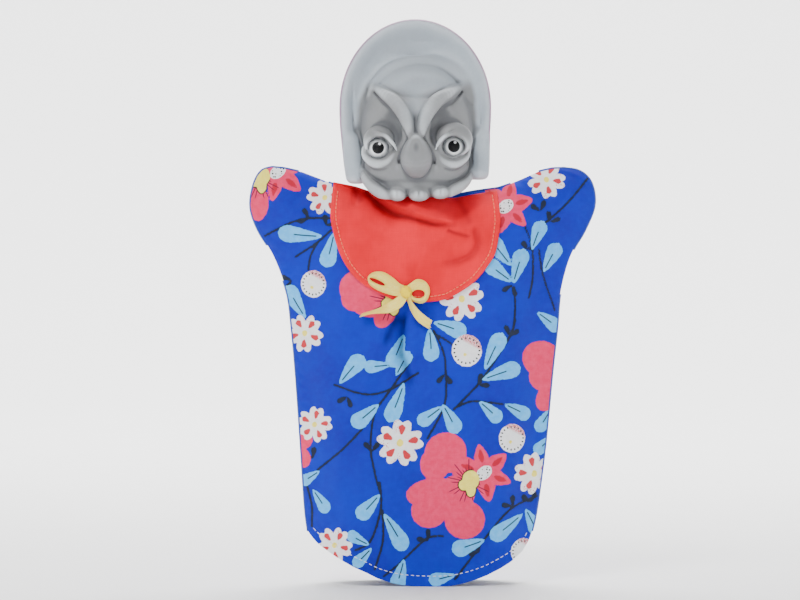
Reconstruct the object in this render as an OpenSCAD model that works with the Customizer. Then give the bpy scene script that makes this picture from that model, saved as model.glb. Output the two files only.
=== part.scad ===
/* [Glove] */
// Half depth of the cloth body when a hand fills it
body_depth = 18.5; // [16:0.5:20]
// Half depth of the arms when fingers fill them
arm_depth = 11; // [10:0.5:11.5]
// Distance over which the cloth swells from a seam to its full depth
swell_reach = 34; // [30:1:38]
// Thickness of the cotton cloth with its lining
cloth_t = 1.2; // [1:0.1:1.4]
// Height of the turned-up hem
hem_h = 7; // [5:1:10]
// Radius of a seam's rolled edge
seam_r = 0.8; // [0.6:0.1:0.9]

/* [Arms] */
// Radius of the shoulder joint's disc
shoulder_r = 21.5; // [20.5:0.5:21.5]
// Radius of the wrist joint's barrel
wrist_r = 13.5; // [13:0.5:14]
// Clearance between cloth parts that move on each other
cloth_gap = 0.4; // [0.3:0.1:0.6]

/* [Head] */
// Radius of the face ball
face_r = 31; // [30:0.5:32]
// Half width of the hood
hood_w = 38; // [37:0.5:39]
// Half height of the hood
hood_h = 44; // [43:0.5:45]
// Radius of the hollow inside the head
hollow_r = 25; // [22:0.5:26]
// Radius of the finger bore in the neck
finger_r = 11; // [10:0.25:11.25]
// Radius of the neck's flanges
neck_r = 14.2; // [13.5:0.1:14.2]

/* [Bow] */
// Width of the ribbon
ribbon_w = 5.5; // [4:0.5:7]
// Thickness of the ribbon
ribbon_t = 0.6; // [0.4:0.1:0.8]

/* [Hidden] */

BLUE = "royalblue";
VINYL = "slategray";
RED = "tomato";
YELLOW = "khaki";
THREAD = "gainsboro";

// Glove outline, points [x, z], each chain from low to high or from left to right
LEFT_EDGE = [[-54, 26], [-58, 80], [-61, 121], [-64, 142], [-71, 163], [-79, 177], [-83, 189],
    [-80.5, 202], [-72, 208]];
RIGHT_EDGE = [[58, 26], [66, 80], [69.5, 121], [72.5, 145], [77, 163], [85, 178], [89.5, 190],
    [86, 202], [74, 207.5]];
TOP_EDGE = [[-72, 208], [-57, 205.5], [-49, 202.5], [-43, 200], [-30, 197], [-19, 194], [0, 193],
    [19, 194], [30, 196], [41, 197.5], [53, 202], [62, 206], [74, 207.5]];
HEM_EDGE = [[-54, 26], [-49, 21], [-37, 13.5], [-25, 7], [-13, 2], [-1, 0], [11, 0], [23, 1.5],
    [35, 5.5], [47, 12], [58, 26]];
// Shoulder seams end where the neck opening begins
NECK_HALF = 19;

// Bib outline
BIB_LEFT = [[-16, 144], [-27, 153], [-36, 169], [-37.3, 185], [-40, 197]];
BIB_RIGHT = [[16, 143], [28, 152], [37.5, 170], [40.5, 184], [41.3, 195.5]];
BIB_TOP = [[-40, 197], [-25, 188], [0, 179], [25, 187.5], [41.3, 195.5]];
BIB_BOTTOM = [[-16, 144], [0, 141.5], [16, 143]];

// Joint centres [x, z]; the wrist axes lean by wrist_lean
LEFT_SHOULDER = [-60, 184];
RIGHT_SHOULDER = [65, 184.5];
LEFT_WRIST = [-68, 187];
RIGHT_WRIST = [74, 187.5];
wrist_lean = 14;
NECK_PIVOT = [0, 0, 189];

// Cloth offsets from the swell surface: panel, hem fold, bib
panel_in = 0.3;
panel_out = panel_in + cloth_t;
hem_in = panel_in - 0.1 - cloth_t;
bib_in = panel_out + 0.3;
bib_out = bib_in + 1;
thread_r = 0.35;
// Shares of the outline's width and height that the cloth stays inside the seams
panel_inset = 0.007;
arm_inset = 0.005;

// ---- curves and distances ----
function lerp(a, b, t) = a + (b - a) * t;
function catmull(a, b, c, d, t) =
    0.5 * (2 * b + (c - a) * t + (2 * a - 5 * b + 4 * c - d) * t * t + (3 * b - a - 3 * c + d) * t * t * t);
function at(chain, i) = chain[max(0, min(len(chain) - 1, i))];
function along(chain, t) =
    let (s = t * (len(chain) - 1), i = min(floor(s), len(chain) - 2))
    catmull(at(chain, i - 1), at(chain, i), at(chain, i + 1), at(chain, i + 2), s - i);
// Height of a left-to-right chain over x
function level(chain, x, i = 0) =
    i >= len(chain) - 2 || x <= chain[i + 1][0]
        ? lerp(chain[i][1], chain[i + 1][1], (x - chain[i][0]) / (chain[i + 1][0] - chain[i][0]))
        : level(chain, x, i + 1);
function across(chain, t) =
    let (x = lerp(chain[0][0], chain[len(chain) - 1][0], t)) [x, level(chain, x)];
// Coons patch of two edges that rise and two that run left to right
function patch(left, right, low, high, u, v) =
    (1 - v) * across(low, u) + v * across(high, u) + (1 - u) * along(left, v) + u * along(right, v)
    - (1 - u) * (1 - v) * low[0] - u * (1 - v) * low[len(low) - 1]
    - (1 - u) * v * high[0] - u * v * high[len(high) - 1];
function glove_at(u, v) = patch(LEFT_EDGE, RIGHT_EDGE, HEM_EDGE, TOP_EDGE, u, v);
function bib_at(u, v) = patch(BIB_LEFT, BIB_RIGHT, BIB_BOTTOM, BIB_TOP, u, v);

function to_segment(p, a, b) =
    let (d = b - a, t = max(0, min(1, (p - a) * d / (d * d)))) norm(p - a - t * d);
function to_chain(p, chain) = min([for (i = [0:len(chain) - 2]) to_segment(p, chain[i], chain[i + 1])]);
LEFT_SEAM = [for (i = [0:32]) along(LEFT_EDGE, i / 32)];
RIGHT_SEAM = [for (i = [0:32]) along(RIGHT_EDGE, i / 32)];
LEFT_TOP = concat([for (p = TOP_EDGE) if (p[0] < -NECK_HALF) p], [[-NECK_HALF, 194]]);
RIGHT_TOP = concat([[NECK_HALF, 194]], [for (p = TOP_EDGE) if (p[0] > NECK_HALF) p]);
function to_seam(p) =
    min(to_chain(p, LEFT_SEAM), to_chain(p, RIGHT_SEAM), to_chain(p, LEFT_TOP), to_chain(p, RIGHT_TOP));
function smooth(t) = let (s = max(0, min(1, t))) s * s * (3 - 2 * s);
// Half depth of the filled glove at [x, z]
function swell(p) =
    let (depth = lerp(body_depth, arm_depth, smooth((abs(p[0] - 3) - 38) / 25)),
        s = min(1, to_seam(p) / swell_reach))
    depth * (1 - pow(1 - s, 2.2));

// ---- cloth solids ----
// Closed solid between two grids of points, both of n rows by m columns
module sheet_solid(outer, inner) {
    n = len(outer);
    m = len(outer[0]);
    points = concat([for (row = outer) each row], [for (row = inner) each row]);
    function id(k, i, j) = k * n * m + i * m + j;
    faces = concat(
        [for (i = [0:n - 2]) for (j = [0:m - 2]) each
            [[id(0, i, j), id(0, i + 1, j), id(0, i + 1, j + 1)], [id(0, i, j), id(0, i + 1, j + 1), id(0, i, j + 1)]]],
        [for (i = [0:n - 2]) for (j = [0:m - 2]) each
            [[id(1, i, j), id(1, i + 1, j + 1), id(1, i + 1, j)], [id(1, i, j), id(1, i, j + 1), id(1, i + 1, j + 1)]]],
        [for (j = [0:m - 2]) each
            [[id(0, 0, j), id(0, 0, j + 1), id(1, 0, j + 1)], [id(0, 0, j), id(1, 0, j + 1), id(1, 0, j)],
            [id(0, n - 1, j + 1), id(0, n - 1, j), id(1, n - 1, j)],
            [id(0, n - 1, j + 1), id(1, n - 1, j), id(1, n - 1, j + 1)]]],
        [for (i = [0:n - 2]) each
            [[id(0, i + 1, 0), id(0, i, 0), id(1, i, 0)], [id(0, i + 1, 0), id(1, i, 0), id(1, i + 1, 0)],
            [id(0, i, m - 1), id(0, i + 1, m - 1), id(1, i + 1, m - 1)],
            [id(0, i, m - 1), id(1, i + 1, m - 1), id(1, i, m - 1)]]]);
    polyhedron(points, faces);
}

// Part of the glove's front (side -1) or back (side 1), between two offsets from the swell surface
module cloth(side, u0, u1, v0, v1, nu, nv, off_in, off_out) {
    grid = [for (i = [0:nv]) [for (j = [0:nu]) glove_at(lerp(u0, u1, j / nu), lerp(v0, v1, i / nv))]];
    depth = [for (row = grid) [for (p = row) swell(p)]];
    near = [for (i = [0:nv]) [for (j = [0:nu]) [grid[i][j][0], side * (depth[i][j] + off_in), grid[i][j][1]]]];
    far = [for (i = [0:nv]) [for (j = [0:nu]) [grid[i][j][0], side * (depth[i][j] + off_out), grid[i][j][1]]]];
    if (side < 0) sheet_solid(near, far);
    else sheet_solid(far, near);
}

// Tube with 6 sides along a path of 3D points
module thread(path, r) {
    n = len(path);
    function dir(i) = let (d = at(path, i + 1) - at(path, i - 1)) d / norm(d);
    function side_of(d) = let (c = cross(d, abs(d[1]) < 0.9 ? [0, 1, 0] : [1, 0, 0])) c / norm(c);
    rings = [for (i = [0:n - 1]) let (d = dir(i), a = side_of(d), b = cross(d, a))
        each [for (k = [0:5]) path[i] + r * (cos(60 * k) * a + sin(60 * k) * b)]];
    polyhedron(rings, concat(
        [[5, 4, 3, 2, 1, 0]],
        [for (i = [0:n - 2]) for (k = [0:5]) each
            [[6 * i + k, 6 * i + (k + 1) % 6, 6 * i + 6 + k], [6 * i + (k + 1) % 6, 6 * i + 6 + (k + 1) % 6, 6 * i + 6 + k]]],
        [[for (k = [0:5]) 6 * (n - 1) + k]]));
}

// Flat ribbon along a path of [point, width direction, width]
module ribbon(stops) {
    n = len(stops);
    function tangent(i) = let (d = at(stops, i + 1)[0] - at(stops, i - 1)[0]) d / norm(d);
    function across_of(i) = stops[i][1] / norm(stops[i][1]) * stops[i][2] / 2;
    function lift(i) = let (c = cross(tangent(i), across_of(i))) c / norm(c) * ribbon_t / 2;
    sheet_solid(
        [for (i = [0:n - 1]) [stops[i][0] - across_of(i) + lift(i), stops[i][0] + across_of(i) + lift(i)]],
        [for (i = [0:n - 1]) [stops[i][0] - across_of(i) - lift(i), stops[i][0] + across_of(i) - lift(i)]]);
}

// ---- joint zones ----
// Disc and outward sector of an arm; grow widens it for the part that it turns in
module arm_zone(pivot, flip, from, to, grow) {
    reach = 50;
    translate([pivot[0], 60, pivot[1]]) rotate([90, 0, 0]) mirror([flip, 0, 0]) linear_extrude(120) union() {
        circle(r = shoulder_r + grow + 0.5 * flip, $fn = 96);
        polygon(concat([[0, 0]], [for (i = [0:4]) let (a = lerp(from, to, i / 4)) 2 * reach * [cos(a), sin(a)]]));
    }
}
module left_arm_zone() { arm_zone(LEFT_SHOULDER, 0, 84, 215, 0); }
module right_arm_zone() { arm_zone(RIGHT_SHOULDER, 1, 84, 215, 0); }
module torso_cuts() {
    arm_zone(LEFT_SHOULDER, 0, 62, 238, cloth_gap);
    arm_zone(RIGHT_SHOULDER, 1, 62, 238, cloth_gap);
    translate(NECK_PIVOT) sphere(r = 17.9, $fn = 72);
}
module wrist_zone(wrist, flip, grow) {
    translate([wrist[0], 0, wrist[1]]) mirror([flip, 0, 0]) rotate([0, wrist_lean, 0]) union() {
        cylinder(r = wrist_r + grow, h = 90, center = true, $fn = 96);
        translate([-40, -40, -45]) cube([40, 80, 90]);
    }
}

// ---- glove ----
module panel(side) {
    difference() {
        cloth(side, panel_inset, 1 - panel_inset, 0, 1, 26, 26, panel_in, panel_out);
        torso_cuts();
    }
}
module front_panel() { color(BLUE) panel(-1); }
module back_panel() { color(BLUE) panel(1); }

module hem_fold(side) { cloth(side, 0.06, 0.94, 0.004, 0.004 + hem_h / 180, 22, 1, hem_in, panel_in - 0.1); }
module front_hem() { color(BLUE) hem_fold(-1); }
module back_hem() { color(BLUE) hem_fold(1); }

module hem_thread(side) {
    thread([for (j = [0:36]) let (p = glove_at(lerp(0.03, 0.97, j / 36), 0.024))
        [p[0], side * (swell(p) + panel_out + 0.2), p[1]]], thread_r);
}
module front_hem_stitching() { color(THREAD) hem_thread(-1); }
module back_hem_stitching() { color(THREAD) hem_thread(1); }

module edge_seam(edge, t0, t1, steps) {
    thread([for (i = [0:steps]) let (p = along(edge, lerp(t0, t1, i / steps))) [p[0], 0, p[1]]], seam_r);
}
module left_edge_seam() { edge_seam(LEFT_EDGE, 0, 1, 40); }
module right_edge_seam() { edge_seam(RIGHT_EDGE, 0, 1, 40); }
module left_top_seam() { thread([for (p = LEFT_TOP) [p[0], 0, p[1]]], seam_r); }
module right_top_seam() { thread([for (p = RIGHT_TOP) [p[0], 0, p[1]]], seam_r); }

module left_side_seam() { color(BLUE) difference() { left_edge_seam(); torso_cuts(); } }
module right_side_seam() { color(BLUE) difference() { right_edge_seam(); torso_cuts(); } }
module left_shoulder_seam() { color(BLUE) difference() { left_top_seam(); torso_cuts(); } }
module right_shoulder_seam() { color(BLUE) difference() { right_top_seam(); torso_cuts(); } }

module left_arm_cloth(side) { cloth(side, arm_inset, 0.3, 0.55, 1 - arm_inset, 12, 16, panel_in, panel_out); }
module right_arm_cloth(side) { cloth(side, 0.7, 1 - arm_inset, 0.55, 1 - arm_inset, 12, 16, panel_in, panel_out); }
module left_sleeve(side) {
    color(BLUE) difference() {
        intersection() { left_arm_cloth(side); left_arm_zone(); }
        wrist_zone(LEFT_WRIST, 0, cloth_gap);
    }
}
module right_sleeve(side) {
    color(BLUE) difference() {
        intersection() { right_arm_cloth(side); right_arm_zone(); }
        wrist_zone(RIGHT_WRIST, 1, cloth_gap);
    }
}
module left_mitt(side) {
    color(BLUE) intersection() { left_arm_cloth(side); left_arm_zone(); wrist_zone(LEFT_WRIST, 0, 0); }
}
module right_mitt(side) {
    color(BLUE) intersection() { right_arm_cloth(side); right_arm_zone(); wrist_zone(RIGHT_WRIST, 1, 0); }
}
module left_sleeve_front() { left_sleeve(-1); }
module left_sleeve_back() { left_sleeve(1); }
module left_mitt_front() { left_mitt(-1); }
module left_mitt_back() { left_mitt(1); }
module right_sleeve_front() { right_sleeve(-1); }
module right_sleeve_back() { right_sleeve(1); }
module right_mitt_front() { right_mitt(-1); }
module right_mitt_back() { right_mitt(1); }

module left_mitt_seam() {
    color(BLUE) intersection() { left_edge_seam(); left_arm_zone(); wrist_zone(LEFT_WRIST, 0, 0); }
}
module right_mitt_seam() {
    color(BLUE) intersection() { right_edge_seam(); right_arm_zone(); wrist_zone(RIGHT_WRIST, 1, 0); }
}

// ---- bib and bow ----
module bib() {
    nu = 18;
    nv = 12;
    grid = [for (i = [0:nv]) [for (j = [0:nu]) bib_at(j / nu, i / nv)]];
    color(RED) sheet_solid(
        [for (row = grid) [for (p = row) [p[0], -swell(p) - bib_in, p[1]]]],
        [for (row = grid) [for (p = row) [p[0], -swell(p) - bib_out, p[1]]]]);
}
module bib_stitching() {
    inset = 0.06;
    loop = concat(
        [for (i = [0:14]) bib_at(inset, 1 - inset - (1 - 2 * inset) * i / 14)],
        [for (j = [1:8]) bib_at(inset + (1 - 2 * inset) * j / 8, inset)],
        [for (i = [1:14]) bib_at(1 - inset, inset + (1 - 2 * inset) * i / 14)]);
    color(RED) thread([for (p = loop) [p[0], -swell(p) - bib_out - 0.2, p[1]]], thread_r);
}

BOW = [-6.5, -23.8, 146];
module bow_knot() {
    color(YELLOW) translate(BOW) union() {
        rotate([0, 90, 20]) cylinder(r = 3, h = 5, center = true, $fn = 48);
        rotate([0, 90, 20]) cylinder(r = 3.2, h = 1.6, center = true, $fn = 48);
    }
}
// A loop leaves the knot, turns back at its far end and comes home under itself
module bow_loop(far, rise, depth, w) {
    color(YELLOW) translate(BOW) ribbon([for (i = [0:20])
        let (a = 24 + 312 * i / 20, r = far * (0.5 - 0.5 * cos(a)), o = rise * sin(a))
        [[r * cos(depth), -1.5 - 1.5 * sin(a / 2), r * sin(depth) + o], [0, 1, 0.25], w]]);
}
module bow_left_loop() { bow_loop(-18, 2.6, -20, ribbon_w); }
module bow_right_loop() { bow_loop(14, 3.4, 16, ribbon_w); }
module bow_left_tail() {
    color(YELLOW) translate(BOW) ribbon([
        [[-3.6, 0, -2.4], [0.5, 0.2, 0.8], ribbon_w * 0.7],
        [[-8, -1.2, -4], [0.3, 0.5, 0.8], ribbon_w],
        [[-13, -1.6, -5.6], [0.2, 0.6, 0.7], ribbon_w],
        [[-17.5, -1.4, -8.6], [0.6, 0.4, 0.6], ribbon_w],
        [[-21, -1.2, -12.4], [0.8, 0.2, 0.5], ribbon_w]]);
}
module bow_right_tail() {
    color(YELLOW) translate(BOW) ribbon([
        [[3, 0, -2.8], [0.8, 0.1, 0.5], ribbon_w * 0.7],
        [[6.5, -1, -6], [0.9, 0.1, 0.4], ribbon_w],
        [[9.5, -1.2, -10], [0.9, -0.1, 0.4], ribbon_w],
        [[12, -1.4, -14], [0.8, -0.2, 0.5], ribbon_w],
        [[13.5, -1.4, -17.5], [0.9, -0.1, 0.3], ribbon_w]]);
}

// ---- neck ----
module neck_casing() {
    outer = 17.4;
    inner = 16.2;
    color(BLUE) translate(NECK_PIVOT) difference() {
        sphere(r = outer, $fn = 72);
        sphere(r = inner, $fn = 72);
        translate([-20, -20, 5.5]) cube([40, 40, 20]);
        translate([-20, -20, -29]) cube([40, 40, 20]);
    }
}
module neck_cord() {
    color(THREAD) translate(NECK_PIVOT) rotate_extrude($fn = 72) translate([13.9, 0]) circle(r = 0.9, $fn = 24);
}

// ---- head ----
HOOD_CENTRE = [-0.7, 5, 237.5];
FACE_CENTRE = [-1.5, -3, 230];
HOLLOW_CENTRE = [-0.7, 3, 236];
LEFT_EYE = [-18.6, -22, 216.4];
RIGHT_EYE = [18.4, -22, 217];
eye_r = 6;
neck_low = NECK_PIVOT[2] - 4;
module ball(p, r) { translate(p) sphere(r = r, $fn = 24); }
module capsule(a, b, ra, rb) { hull() { ball(a, ra); ball(b, rb); } }

module hood() {
    difference() {
        translate(HOOD_CENTRE) scale([1, 0.79, hood_h / hood_w]) sphere(r = hood_w, $fn = 40);
        translate([-50, -62, 180]) cube([100, 50, 110]);
        translate([-0.7, -20, 238]) scale([1, 0.62, 1.17]) sphere(r = hood_w - 2.5, $fn = 36);
        translate([-50, -50, 180]) cube([100, 100, 22]);
    }
}
module features() {
    capsule([-31, -12, 226], [-26, -13, 208.5], 6, 7.5);
    capsule([30.5, -12, 227], [29, -13, 211], 6, 7.5);
    capsule([-24.5, -14.4, 247], [-5.5, -32.4, 222], 2.6, 3.4);
    capsule([22, -14.4, 247], [-0.5, -32.6, 222], 2.6, 3.4);
    capsule([-0.5, -33.5, 220], [0, -30.5, 210], 3.5, 7.5);
    capsule([-28, -16, 209.5], [-14, -26, 206.5], 2.4, 3);
    capsule([26, -16, 210.5], [12, -26, 207], 2.4, 3);
    for (x = [-19, -12, -1, 10, 17]) translate([x, -21.5 + abs(x + 1) * 0.3, 199 + abs(x + 1) * 0.24])
        sphere(r = 5.4, $fn = 48);
    for (p = [LEFT_EYE, RIGHT_EYE]) translate(p) difference() {
        sphere(r = eye_r + 1.4, $fn = 48);
        translate([-10, -10, -11]) cube([20, 20, 13]);
    }
}
module head_moulding() {
    color(VINYL) difference() {
        union() {
            hood();
            translate(FACE_CENTRE) sphere(r = face_r, $fn = 96);
            features();
            translate([0, 0, neck_low]) cylinder(r = neck_r, h = 24, $fn = 96);
        }
        translate([0, 0, NECK_PIVOT[2] - 1.6]) difference() {
            cylinder(r = neck_r + 2, h = 3.2, $fn = 96);
            translate([0, 0, -1]) cylinder(r = 12.6, h = 6, $fn = 96);
        }
        translate([0, 0, NECK_PIVOT[2] + 3.2]) difference() {
            cylinder(r = neck_r + 8, h = 5.3, $fn = 96);
            translate([0, 0, -1]) cylinder(r = 13, h = 8, $fn = 96);
        }
        translate(HOLLOW_CENTRE) sphere(r = hollow_r, $fn = 96);
        translate([0, 0, neck_low - 1]) cylinder(r = finger_r, h = 44, $fn = 96);
        for (p = [LEFT_EYE, RIGHT_EYE]) translate(p) sphere(r = eye_r + 0.1, $fn = 48);
    }
}
module left_eye() { color("white") translate(LEFT_EYE) sphere(r = eye_r, $fn = 48); }
module right_eye() { color("white") translate(RIGHT_EYE) sphere(r = eye_r, $fn = 48); }
// A pupil is a smaller ball pressed into the eye, of which a low cap shows
PUPIL_SHIFT = [0, -2.5, 0];
pupil_r = 3.9;
module left_pupil() { color("black") translate(LEFT_EYE + PUPIL_SHIFT) sphere(r = pupil_r, $fn = 48); }
module right_pupil() { color("black") translate(RIGHT_EYE + PUPIL_SHIFT) sphere(r = pupil_r, $fn = 48); }

head_moulding();
left_eye();
right_eye();
left_pupil();
right_pupil();
neck_casing();
neck_cord();
front_panel();
back_panel();
front_hem();
back_hem();
front_hem_stitching();
back_hem_stitching();
left_side_seam();
right_side_seam();
left_shoulder_seam();
right_shoulder_seam();
left_sleeve_front();
left_sleeve_back();
left_mitt_front();
left_mitt_back();
left_mitt_seam();
right_sleeve_front();
right_sleeve_back();
right_mitt_front();
right_mitt_back();
right_mitt_seam();
bib();
bib_stitching();
bow_knot();
bow_left_loop();
bow_right_loop();
bow_left_tail();
bow_right_tail();
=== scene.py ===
import math

import bmesh
import bpy
import numpy as np
import openvdb
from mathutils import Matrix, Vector


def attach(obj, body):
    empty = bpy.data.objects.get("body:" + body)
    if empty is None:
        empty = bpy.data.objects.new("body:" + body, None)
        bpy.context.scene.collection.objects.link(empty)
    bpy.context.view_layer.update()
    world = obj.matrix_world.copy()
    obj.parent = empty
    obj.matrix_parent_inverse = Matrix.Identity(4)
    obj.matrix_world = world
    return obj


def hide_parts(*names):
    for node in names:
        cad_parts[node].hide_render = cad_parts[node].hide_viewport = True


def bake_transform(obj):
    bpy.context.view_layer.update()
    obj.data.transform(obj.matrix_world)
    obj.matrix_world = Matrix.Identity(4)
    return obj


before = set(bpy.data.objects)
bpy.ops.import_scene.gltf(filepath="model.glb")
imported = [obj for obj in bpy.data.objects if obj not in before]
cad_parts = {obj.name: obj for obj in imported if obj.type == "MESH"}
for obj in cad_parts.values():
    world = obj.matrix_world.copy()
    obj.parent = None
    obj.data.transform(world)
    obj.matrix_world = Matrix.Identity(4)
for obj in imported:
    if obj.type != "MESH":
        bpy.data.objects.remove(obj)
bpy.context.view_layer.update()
MM = 0.001

# ---------------------------------------------------------------- outline of the glove, in mm
LEFT_EDGE = [(-54, 26), (-55.5, 38), (-57.5, 68), (-60, 104), (-62.2, 128), (-64.5, 145), (-71, 163),
             (-79, 176.5), (-82.8, 188), (-81.3, 199), (-77.5, 206), (-72, 208)]
RIGHT_EDGE = [(58, 26), (60.5, 38), (64.5, 68), (68, 104), (70.6, 128), (72.2, 145), (77, 163),
              (84.5, 176.5), (89.3, 189), (87.8, 200), (82, 206), (74, 207.5)]
TOP_EDGE = [(-72, 208), (-66, 207.5), (-57, 205.5), (-49, 202.5), (-43, 200), (-30, 197), (-19, 194),
            (0, 193), (19, 194), (30, 196), (41, 197.5), (47, 199.5), (53, 202), (62, 206), (68, 207.3),
            (74, 207.5)]
HEM_EDGE = [(-54, 26), (-51.5, 23), (-49, 20.5), (-43, 16.5), (-37, 13), (-31, 9.7), (-25, 7), (-19, 4),
            (-13, 2), (-7, 0.8), (-1, 0.2), (5, 0), (11, 0), (17, 0.4), (23, 1.5), (29, 3.2), (35, 5.5),
            (41, 8.5), (47, 12), (53, 17), (56, 21.5), (58, 26)]
NECK_HALF = 19
BODY_DEPTH, ARM_DEPTH, REACH = 18.5, 10.5, 34.0
CLOTH_T = 0.9


def smoothstep(t):
    t = np.clip(t, 0, 1)
    return t * t * (3 - 2 * t)


def along(chain, t):
    """Points of a smooth chain at shares t of its length in steps."""
    c = np.array(chain, float)
    s = np.asarray(t, float) * (len(c) - 1)
    i = np.clip(np.floor(s).astype(int), 0, len(c) - 2)
    f = (s - i)[..., None]
    a, b, d, e = c[np.clip(i - 1, 0, None)], c[i], c[i + 1], c[np.clip(i + 2, None, len(c) - 1)]
    return 0.5 * (2 * b + (d - a) * f + (2 * a - 5 * b + 4 * d - e) * f**2 + (3 * b - a - 3 * d + e) * f**3)


def across(chain, t):
    c = np.array(chain, float)
    x = c[0, 0] + (c[-1, 0] - c[0, 0]) * np.asarray(t, float)
    return np.stack([x, np.interp(x, c[:, 0], c[:, 1])], -1)


def patch(left, right, low, high, u, v):
    """Coons patch over u across and v upwards."""
    l, r, b, t = along(left, v), along(right, v), across(low, u), across(high, u)
    b0, b1, t0, t1 = (np.array(p, float) for p in (low[0], low[-1], high[0], high[-1]))
    u, v = u[..., None], v[..., None]
    return ((1 - v) * b + v * t + (1 - u) * l + u * r - (1 - u) * (1 - v) * b0 - u * (1 - v) * b1
            - (1 - u) * v * t0 - u * v * t1)


def to_chain(p, chain):
    """Distance from points p to a polyline."""
    best = np.full(p.shape[:-1], 1e9)
    for a, b in zip(chain[:-1], chain[1:]):
        a, d = np.array(a, float), np.array(b, float) - np.array(a, float)
        t = np.clip(((p - a) @ d) / max(d @ d, 1e-9), 0, 1)
        best = np.minimum(best, np.linalg.norm(p - a - t[..., None] * d, axis=-1))
    return best


SEAMS = [along(LEFT_EDGE, np.linspace(0, 1, 61)), along(RIGHT_EDGE, np.linspace(0, 1, 61)),
         [p for p in TOP_EDGE if p[0] <= -NECK_HALF], [p for p in TOP_EDGE if p[0] >= NECK_HALF]]


def to_seam(p):
    return np.min([to_chain(p, s) for s in SEAMS], axis=0)


def wave(p, scale, seed):
    """Smooth noise of waves of about one length, between -1 and 1."""
    rng = np.random.default_rng(seed)
    total = np.zeros(p.shape[:-1])
    for _ in range(9):
        a, k, ph = rng.uniform(0, math.tau), rng.uniform(0.6, 1.5) / scale, rng.uniform(0, math.tau)
        total += np.sin(math.tau * k * (p[..., 0] * math.cos(a) + p[..., 1] * math.sin(a)) + ph)
    return total / 4.5


def fold(p, a, b, height, width, skew=0.0):
    """A ridge (or a valley, with height < 0) from a to b that fades at its ends."""
    a, b = np.array(a, float), np.array(b, float)
    d = b - a
    length = np.linalg.norm(d)
    t = ((p - a) @ d) / length**2
    n = np.array([-d[1], d[0]]) / length
    s = (p - a) @ n / width
    s = np.where(s > 0, s * (1 + skew), s * (1 - skew))
    return height * np.exp(-s * s) * smoothstep((t + 0.15) / 0.3) * smoothstep((1.15 - t) / 0.4)


# Folds of the front: from, to, height, width, skew
FRONT_FOLDS = [
    ((-5.5, 134), (-7.5, 114), -3.2, 1.6, 0.4), ((-7.5, 116), (-2, 100), -1.3, 2.4, 0.3),
    ((-9.5, 134), (-15.5, 120), -1.8, 2.2, -0.3), ((-1.5, 134), (-1, 108), 1.1, 2.8, 0.0),
    ((-11, 130), (-13, 104), 1.2, 2.6, 0.0), ((3, 131), (13, 96), 0.9, 4.5, 0.2),
    ((-16, 128), (-30, 88), 0.9, 5.5, 0.0), ((-3, 100), (4, 62), -0.9, 5.0, 0.0),
    ((-68, 181), (-50, 190), 1.0, 4.0, 0.2), ((-66, 172), (-46, 178), -0.9, 4.5, 0.0),
    ((-60, 160), (-44, 176), 0.9, 4.0, 0.0), ((72, 176), (52, 192), 1.0, 4.5, 0.2),
    ((74, 168), (54, 176), -1.0, 4.5, 0.0), ((66, 158), (48, 178), 0.8, 4.0, 0.0),
    ((-50, 140), (-44, 80), 0.8, 7.0, 0.0), ((-36, 120), (-30, 40), -0.7, 8.0, 0.0),
    ((54, 140), (50, 60), 0.7, 7.5, 0.0), ((36, 130), (40, 50), -0.6, 8.0, 0.0),
    ((16, 90), (20, 14), 0.7, 9.0, 0.0), ((-14, 84), (-14, 16), 0.6, 8.0, 0.0),
]
BACK_FOLDS = [
    ((0, 186), (-6, 120), 1.4, 5.0, 0.0), ((14, 186), (26, 110), 1.2, 5.0, 0.0),
    ((-14, 186), (-30, 112), 1.2, 5.0, 0.0), ((8, 180), (8, 90), -1.1, 4.0, 0.0),
    ((-8, 184), (-16, 100), -1.1, 4.5, 0.0), ((-60, 176), (-40, 150), 1.0, 5.0, 0.0),
    ((62, 176), (44, 148), 1.0, 5.0, 0.0), ((-34, 110), (-28, 20), 0.9, 8.0, 0.0),
    ((34, 110), (36, 20), 0.9, 8.0, 0.0), ((4, 90), (0, 12), -0.7, 8.0, 0.0),
]


def hem_height(p):
    """Height above the hem edge."""
    c = np.array(HEM_EDGE, float)
    return p[..., 1] - np.interp(p[..., 0], c[:, 0], c[:, 1])


def depth_at(p, side):
    """Half depth of the glove's outer face at [x, z] on the front (side -1) or the back (side 1)."""
    d = to_seam(p)
    arm = smoothstep((np.abs(p[..., 0] - 3) - 38) / 25)
    deep = BODY_DEPTH + (ARM_DEPTH - BODY_DEPTH) * arm
    h = deep * (1 - np.clip(1 - d / REACH, 0, 1) ** 2.2)
    h += 1.25 * np.sqrt(np.clip(1 - (1 - np.clip(d / 3.2, 0, 1)) ** 2, 0, 1))
    free = smoothstep(d / 9)
    w = sum(fold(p, *f) for f in (FRONT_FOLDS if side < 0 else BACK_FOLDS))
    w = w + 0.75 * wave(p, 46, 3 + side) + 0.28 * wave(p, 17, 13 + side) + 0.07 * wave(p, 6, 23 + side)
    s = p[..., 1] + 0.35 * p[..., 0]
    pucker = 0.22 * np.sin(s * 1.15 + 2 * wave(p, 30, 33)) * np.exp(-((d - 2.5) / 2.4) ** 2)
    e = hem_height(p)
    hem = 0.28 * smoothstep((8.6 - e) / 1.0) - 0.22 * np.exp(-((e - 5.2) / 0.7) ** 2)
    hem = hem + 0.13 * np.sin(p[..., 0] * 1.6) * np.exp(-((e - 5.2) / 2.0) ** 2)
    return h + free * w + pucker + hem * free


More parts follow.
